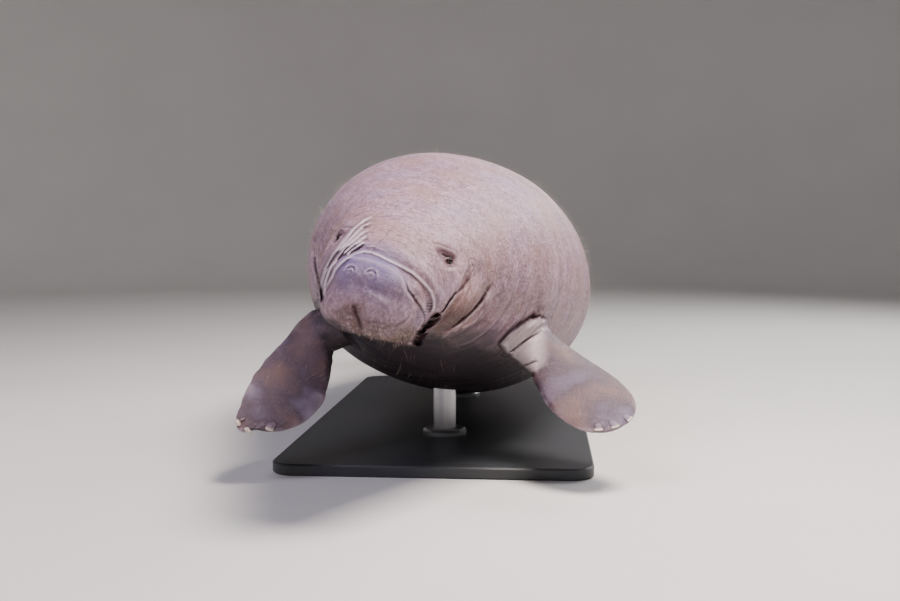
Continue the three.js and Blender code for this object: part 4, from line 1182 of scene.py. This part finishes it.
for side, plates_here in NAILS.items():
    made = []
    for middle, lean, top in plates_here:
        if side == "right":
            middle = leafy(np.array([middle]))[0] + middle
        bpy.ops.object.select_all(action="DESELECT")
        bpy.ops.mesh.primitive_uv_sphere_add(segments=24, ring_count=14, radius=0.5)
        nail = bpy.context.object
        spots_here = places(nail.data)
        for chosen, stretch, still in (
            (spots_here[:, 2] < -1.0, (0.9, 0.9, 0.25), (0, 0, 0)),
            (spots_here[:, 1] > 200.0, (1.12, 0.8, 0.9), (0, 0.2, 0)),
        ):
            select_points(nail, chosen)
            bpy.ops.object.mode_set(mode="EDIT")
            bpy.ops.transform.resize(value=stretch, center_override=still)
            bpy.ops.object.mode_set(mode="OBJECT")
        spots_here = places(nail.data) / 1000.0
        for layer in nail.data.uv_layers[:]:
            nail.data.uv_layers.remove(layer)
        way = nail.data.uv_layers.new(name="along_nail")
        corners = np.empty(len(nail.data.loops), np.int32)
        nail.data.loops.foreach_get("vertex_index", corners)
        way.data.foreach_set("uv", (spots_here[corners][:, :2] + 0.5).astype(np.float32).ravel())
        ahead = Vector(lean).normalized()
        across = ahead.cross(Vector(top)).normalized()
        raised = across.cross(ahead)
        grid = np.stack([across, ahead, raised]) * np.array(NAIL_SIZE)[:, None]
        put_places(nail.data, spots_here @ grid + np.array(middle) + np.array(ahead) * NAIL_FORWARD)
        made.append(nail)
    nails = joined(made, "nails_" + side)
    select_only(nails)
    edit(select_all=ALL, normals_make_consistent={"inside": False})
    bpy.ops.object.shade_smooth()
    nails.data.materials.append(horn)
    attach(nails, "root")


# The hairs of the body: single nylon hairs about 30 mm apart, set all over the hide and combed
# back, and short stiff bristles on the pads and along the fringe of the upper lip.
HAIR_SIDES = 3
HAIR_RINGS = 4


def set_hairs(name, roots, out_way, lie_way, lengths, thickness, material):
    """Tapered three-sided hairs: each leaves along out_way and bends over towards lie_way."""
    number = len(roots)
    along = np.linspace(0.0, 1.0, HAIR_RINGS)
    path = roots[:, None, :] + lengths[:, None, None] * (
        along[None, :, None] * out_way[:, None, :]
        + (along**2)[None, :, None] * lie_way[:, None, :]
    )
    forward = out_way / np.linalg.norm(out_way, axis=1)[:, None]
    sideways = np.cross(forward, lie_way + (0.013, 0.007, 0.019))
    sideways /= np.linalg.norm(sideways, axis=1)[:, None]
    other = np.cross(forward, sideways)
    points, corners = [], []
    per_hair = HAIR_RINGS * HAIR_SIDES
    for ring in range(HAIR_RINGS):
        wide = thickness / 2 * (1.0 - 0.82 * along[ring] ** 1.3)
        for k in range(HAIR_SIDES):
            turn = 2 * math.pi * k / HAIR_SIDES
            points.append(
                path[:, ring] + wide[:, None] * (math.cos(turn) * sideways + math.sin(turn) * other)
            )
    points = np.stack(points, 1).reshape(-1, 3)
    for ring in range(HAIR_RINGS - 1):
        for k in range(HAIR_SIDES):
            a = ring * HAIR_SIDES + k
            b = ring * HAIR_SIDES + (k + 1) % HAIR_SIDES
            corners += [(a, b, b + HAIR_SIDES), (a, b + HAIR_SIDES, a + HAIR_SIDES)]
    corners.append((per_hair - 3, per_hair - 2, per_hair - 1))
    corners.append((2, 1, 0))
    corners = np.array(corners)
    faces = (corners[None] + (np.arange(number) * per_hair)[:, None, None]).reshape(-1, 3)
    mesh = bpy.data.meshes.new(name)
    mesh.from_pydata((points / 1000.0).tolist(), [], faces.tolist())
    mesh.update()
    rooted = straightened(roots)
    u = 0.01 + 0.98 * np.clip(rooted[:, 0] / BODY_LENGTH, 0, 1)
    v = 0.01 + 0.98 * (0.5 + np.arctan2(rooted[:, 2], rooted[:, 1]) / (2 * math.pi))
    ring_of = np.repeat(np.arange(HAIR_RINGS), HAIR_SIDES)
    side_of_hair = np.tile(np.arange(HAIR_SIDES), HAIR_RINGS)
    patch = np.stack([ring_of / (HAIR_RINGS - 1), side_of_hair / (HAIR_SIDES - 1)], -1) * 0.003
    uv = (np.stack([u, v], -1)[:, None, :] + patch[None]).reshape(-1, 2)
    layer = mesh.uv_layers.new(name="OFBake")
    layer.data.foreach_set("uv", np.clip(uv[faces.ravel()], 0, 1).astype(np.float32).ravel())
    hairs = bpy.data.objects.new(name, mesh)
    bpy.context.collection.objects.link(hairs)
    select_only(hairs)
    bpy.ops.object.shade_smooth()
    hairs.data.materials.append(material)
    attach(hairs, "root")
    return hairs


def nylon(name, dark, pale):
    """Nylon hair: dull, in specks of a dark and a pale shade, so single hairs catch the light."""
    material, tree = new_material(name)
    where = add(tree, "TexCoord").outputs["Object"]
    speck = add(tree, "TexNoise", {"Vector": where, "Scale": 60.0, "Detail": 2.0}).outputs["Fac"]
    tone = add(tree, "ValToRGB", {"Fac": speck}, ((0.35, dark), (0.65, pale))).outputs["Color"]
    finish(tree, {"Base Color": tone, "Roughness": 0.5, "IOR": 1.53})
    return material


draw = np.random.default_rng(1947)
skin.data.calc_loop_triangles()
triangles = np.empty(len(skin.data.loop_triangles) * 3, np.int32)
skin.data.loop_triangles.foreach_get("vertices", triangles)
triangles = triangles.reshape(-1, 3)
a, b, c = (spots[triangles[:, k]] for k in range(3))
areas = np.linalg.norm(np.cross(b - a, c - a), axis=1) / 2


def scattered(number, weights):
    """Places on the hide drawn by area and weight, with the way out and the way back there."""
    chance = areas * weights[triangles].mean(1)
    chosen = draw.choice(len(triangles), number, p=chance / chance.sum())
    p, q = draw.random((2, number))
    flip = p + q > 1
    p[flip], q[flip] = 1 - p[flip], 1 - q[flip]
    mix = np.stack([1 - p - q, p, q], -1)[:, :, None]
    here = (spots[triangles[chosen]] * mix).sum(1)
    normal = (facing[triangles[chosen]] * mix).sum(1)
    normal /= np.linalg.norm(normal, axis=1)[:, None]
    backwards = spine_at(straightened(here)[:, 0])[1]
    backwards = backwards - normal * (backwards * normal).sum(1)[:, None]
    backwards /= np.linalg.norm(backwards, axis=1)[:, None]
    return here, normal, backwards


BODY_HAIRS = 5000
bare = np.clip(eye_shade * 3, 0, 1)
weights = (1 - bare) * (1 - ramp(s, 2500, 2750) * 0.7) * (1 - 0.6 * limb) * (1 - 0.7 * pads)
weights *= (1 - 0.85 * np.clip(under, 0, 1)) * (1 - np.clip(3 * deep, 0, 1))
roots, normal, backwards = scattered(BODY_HAIRS, weights)
stray = draw.normal(0, 0.28, (BODY_HAIRS, 3))
lengths = draw.uniform(10.0, 26.0, BODY_HAIRS) * (0.4 + 0.6 * ramp(straightened(roots)[:, 0], 120, 420))
lengths *= 1 - 0.4 * ramp(roots[:, 2], 680.0, 760.0)
set_hairs(
    "body_hairs",
    roots - normal * 0.8,
    normal * 0.8 + backwards * 0.35 + stray,
    backwards * 0.45 - (0, 0, 0.1),
    lengths,
    draw.uniform(0.32, 0.5, BODY_HAIRS),
    nylon("nylon_body_hair", "#8a7565", "#d9cbb8"),
)
BRISTLES = 1200
weights = (fringe**1.5 * (1 - cleft_dark) + 0.05 * pads) * trunk_side
weights = weights * (1 - np.clip(3 * deep, 0, 1)) + 1e-9
roots, normal, backwards = scattered(BRISTLES, weights)
stray = draw.normal(0, 0.36, (BRISTLES, 3))
set_hairs(
    "muzzle_bristles",
    roots - normal * 0.8,
    normal * 0.8 + stray - (0, 0, 0.25),
    backwards * 0.1 - (0, 0, 0.4),
    draw.uniform(2.0, 5.5, BRISTLES),
    draw.uniform(0.45, 0.7, BRISTLES),
    nylon("nylon_bristle", "#6e5645", "#dccab2"),
)


# The base: a board of birch ply with eased edges, sprayed dark grey satin, slightly pebbled.
base_paint, t = new_material("satin_sprayed_ply")
where = add(t, "TexCoord").outputs["Object"]
cloud = add(t, "TexNoise", {"Vector": where, "Scale": 3.0, "Detail": 4.0}).outputs["Fac"]
pebble = add(t, "TexNoise", {"Vector": where, "Scale": 480.0, "Detail": 2.0}).outputs["Fac"]
tone = add(t, "ValToRGB", {"Fac": cloud}, ((0.3, "#2b2d30"), (0.7, "#34373a"))).outputs["Color"]
dull = add(t, "MapRange", {"Value": cloud, "To Min": 0.36, "To Max": 0.52}).outputs["Result"]
relief = add(t, "Bump", {"Height": pebble, "Strength": 0.2, "Distance": 0.0003}).outputs["Normal"]
finish(t, {"Base Color": tone, "Roughness": dull, "IOR": 1.5, "Normal": relief})
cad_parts["stand_base"].data.materials.clear()
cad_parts["stand_base"].data.materials.append(base_paint)


# The rods: steel bar turned and brushed round its length, each welded to a round foot plate.
brushed, t = new_material("brushed_steel")
where = add(t, "TexCoord").outputs["Object"]
brush = add(t, "Mapping", {"Vector": where, "Scale": (30.0, 30.0, 900.0)}).outputs["Vector"]
scratch = add(t, "TexNoise", {"Vector": brush, "Scale": 1.0, "Detail": 3.0}).outputs["Fac"]
dull = add(t, "MapRange", {"Value": scratch, "To Min": 0.26, "To Max": 0.42}).outputs["Result"]
tone = add(t, "ValToRGB", {"Fac": scratch}, ((0.0, "#9b9ca0"), (1.0, "#b9babd"))).outputs["Color"]
relief = add(t, "Bump", {"Height": scratch, "Strength": 0.15, "Distance": 0.0002}).outputs["Normal"]
finish(t, {"Base Color": tone, "Metallic": 1.0, "Roughness": dull, "Normal": relief})
for rod in ("stand_rod_front", "stand_rod_rear"):
    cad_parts[rod].data.materials.clear()
    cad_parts[rod].data.materials.append(brushed)


# The studio: a pale floor that curves up to a wall all round, and soft lamps.
FLOOR_RADIUS = 7.0
COVE_RADIUS = 2.5
WALL_HEIGHT = 6.0
bpy.ops.object.select_all(action="DESELECT")
bpy.ops.mesh.primitive_circle_add(vertices=96, radius=FLOOR_RADIUS, fill_type="NGON")
floor = bpy.context.object
floor.name = "studio_floor"
bpy.ops.object.mode_set(mode="EDIT")
bpy.ops.mesh.select_all(action="SELECT")
for step in range(1, 13):
    turn = math.pi / 2 * step / 12
    previous = math.pi / 2 * (step - 1) / 12
    wide = FLOOR_RADIUS + COVE_RADIUS * math.sin(turn)
    was_wide = FLOOR_RADIUS + COVE_RADIUS * math.sin(previous)
    bpy.ops.mesh.select_mode(type="EDGE")
    if step == 1:
        bpy.ops.mesh.select_all(action="DESELECT")
        bpy.ops.mesh.select_non_manifold()
    rise = COVE_RADIUS * (math.cos(previous) - math.cos(turn))
    bpy.ops.mesh.extrude_edges_move(TRANSFORM_OT_translate={"value": (0, 0, rise)})
    bpy.ops.transform.resize(value=(wide / was_wide, wide / was_wide, 1.0), center_override=(0, 0, 0))
bpy.ops.mesh.extrude_edges_move(TRANSFORM_OT_translate={"value": (0, 0, WALL_HEIGHT - COVE_RADIUS)})
bpy.ops.mesh.select_mode(type="VERT")
bpy.ops.mesh.select_all(action="SELECT")
bpy.ops.mesh.normals_make_consistent(inside=True)
bpy.ops.object.mode_set(mode="OBJECT")
bpy.ops.object.shade_smooth()
floor_paint, t = new_material("pale_floor_paint")
where = add(t, "TexCoord").outputs["Object"]
scuff = add(t, "TexNoise", {"Vector": where, "Scale": 1.5, "Detail": 4.0}).outputs["Fac"]
tone = add(t, "ValToRGB", {"Fac": scuff}, ((0.0, "#d3d1cd"), (1.0, "#dddbd7"))).outputs["Color"]
finish(t, {"Base Color": tone, "Roughness": 0.75})
floor.data.materials.append(floor_paint)


def soft_lamp(name, place, aim, size, power, colour):
    """A square lamp at place, turned towards aim."""
    data = bpy.data.lights.new(name, "AREA")
    data.shape = "SQUARE"
    data.size = size
    data.energy = power
    data.color = linear(colour)[:3]
    lamp = bpy.data.objects.new(name, data)
    lamp.location = place
    lamp.rotation_euler = (Vector(aim) - Vector(place)).to_track_quat("-Z", "Y").to_euler()
    bpy.context.collection.objects.link(lamp)


soft_lamp("top_lamp", (1.1, -1.25, 3.2), (0.1, -0.8, 0.4), 1.1, 240.0, "#fff4ee")
soft_lamp("front_lamp", (-2.2, -3.7, 4.1), (0.0, -0.9, 0.5), 2.0, 170.0, "#ece6ff")
soft_lamp("rear_lamp", (2.6, 2.8, 3.0), (0.0, 0.4, 0.4), 2.2, 150.0, "#ffffff")
world = bpy.data.worlds.new("studio")
world.use_nodes = True
world.node_tree.nodes["Background"].inputs["Color"].default_value = linear("#e6e8ea")
world.node_tree.nodes["Background"].inputs["Strength"].default_value = 0.12
bpy.context.scene.world = world
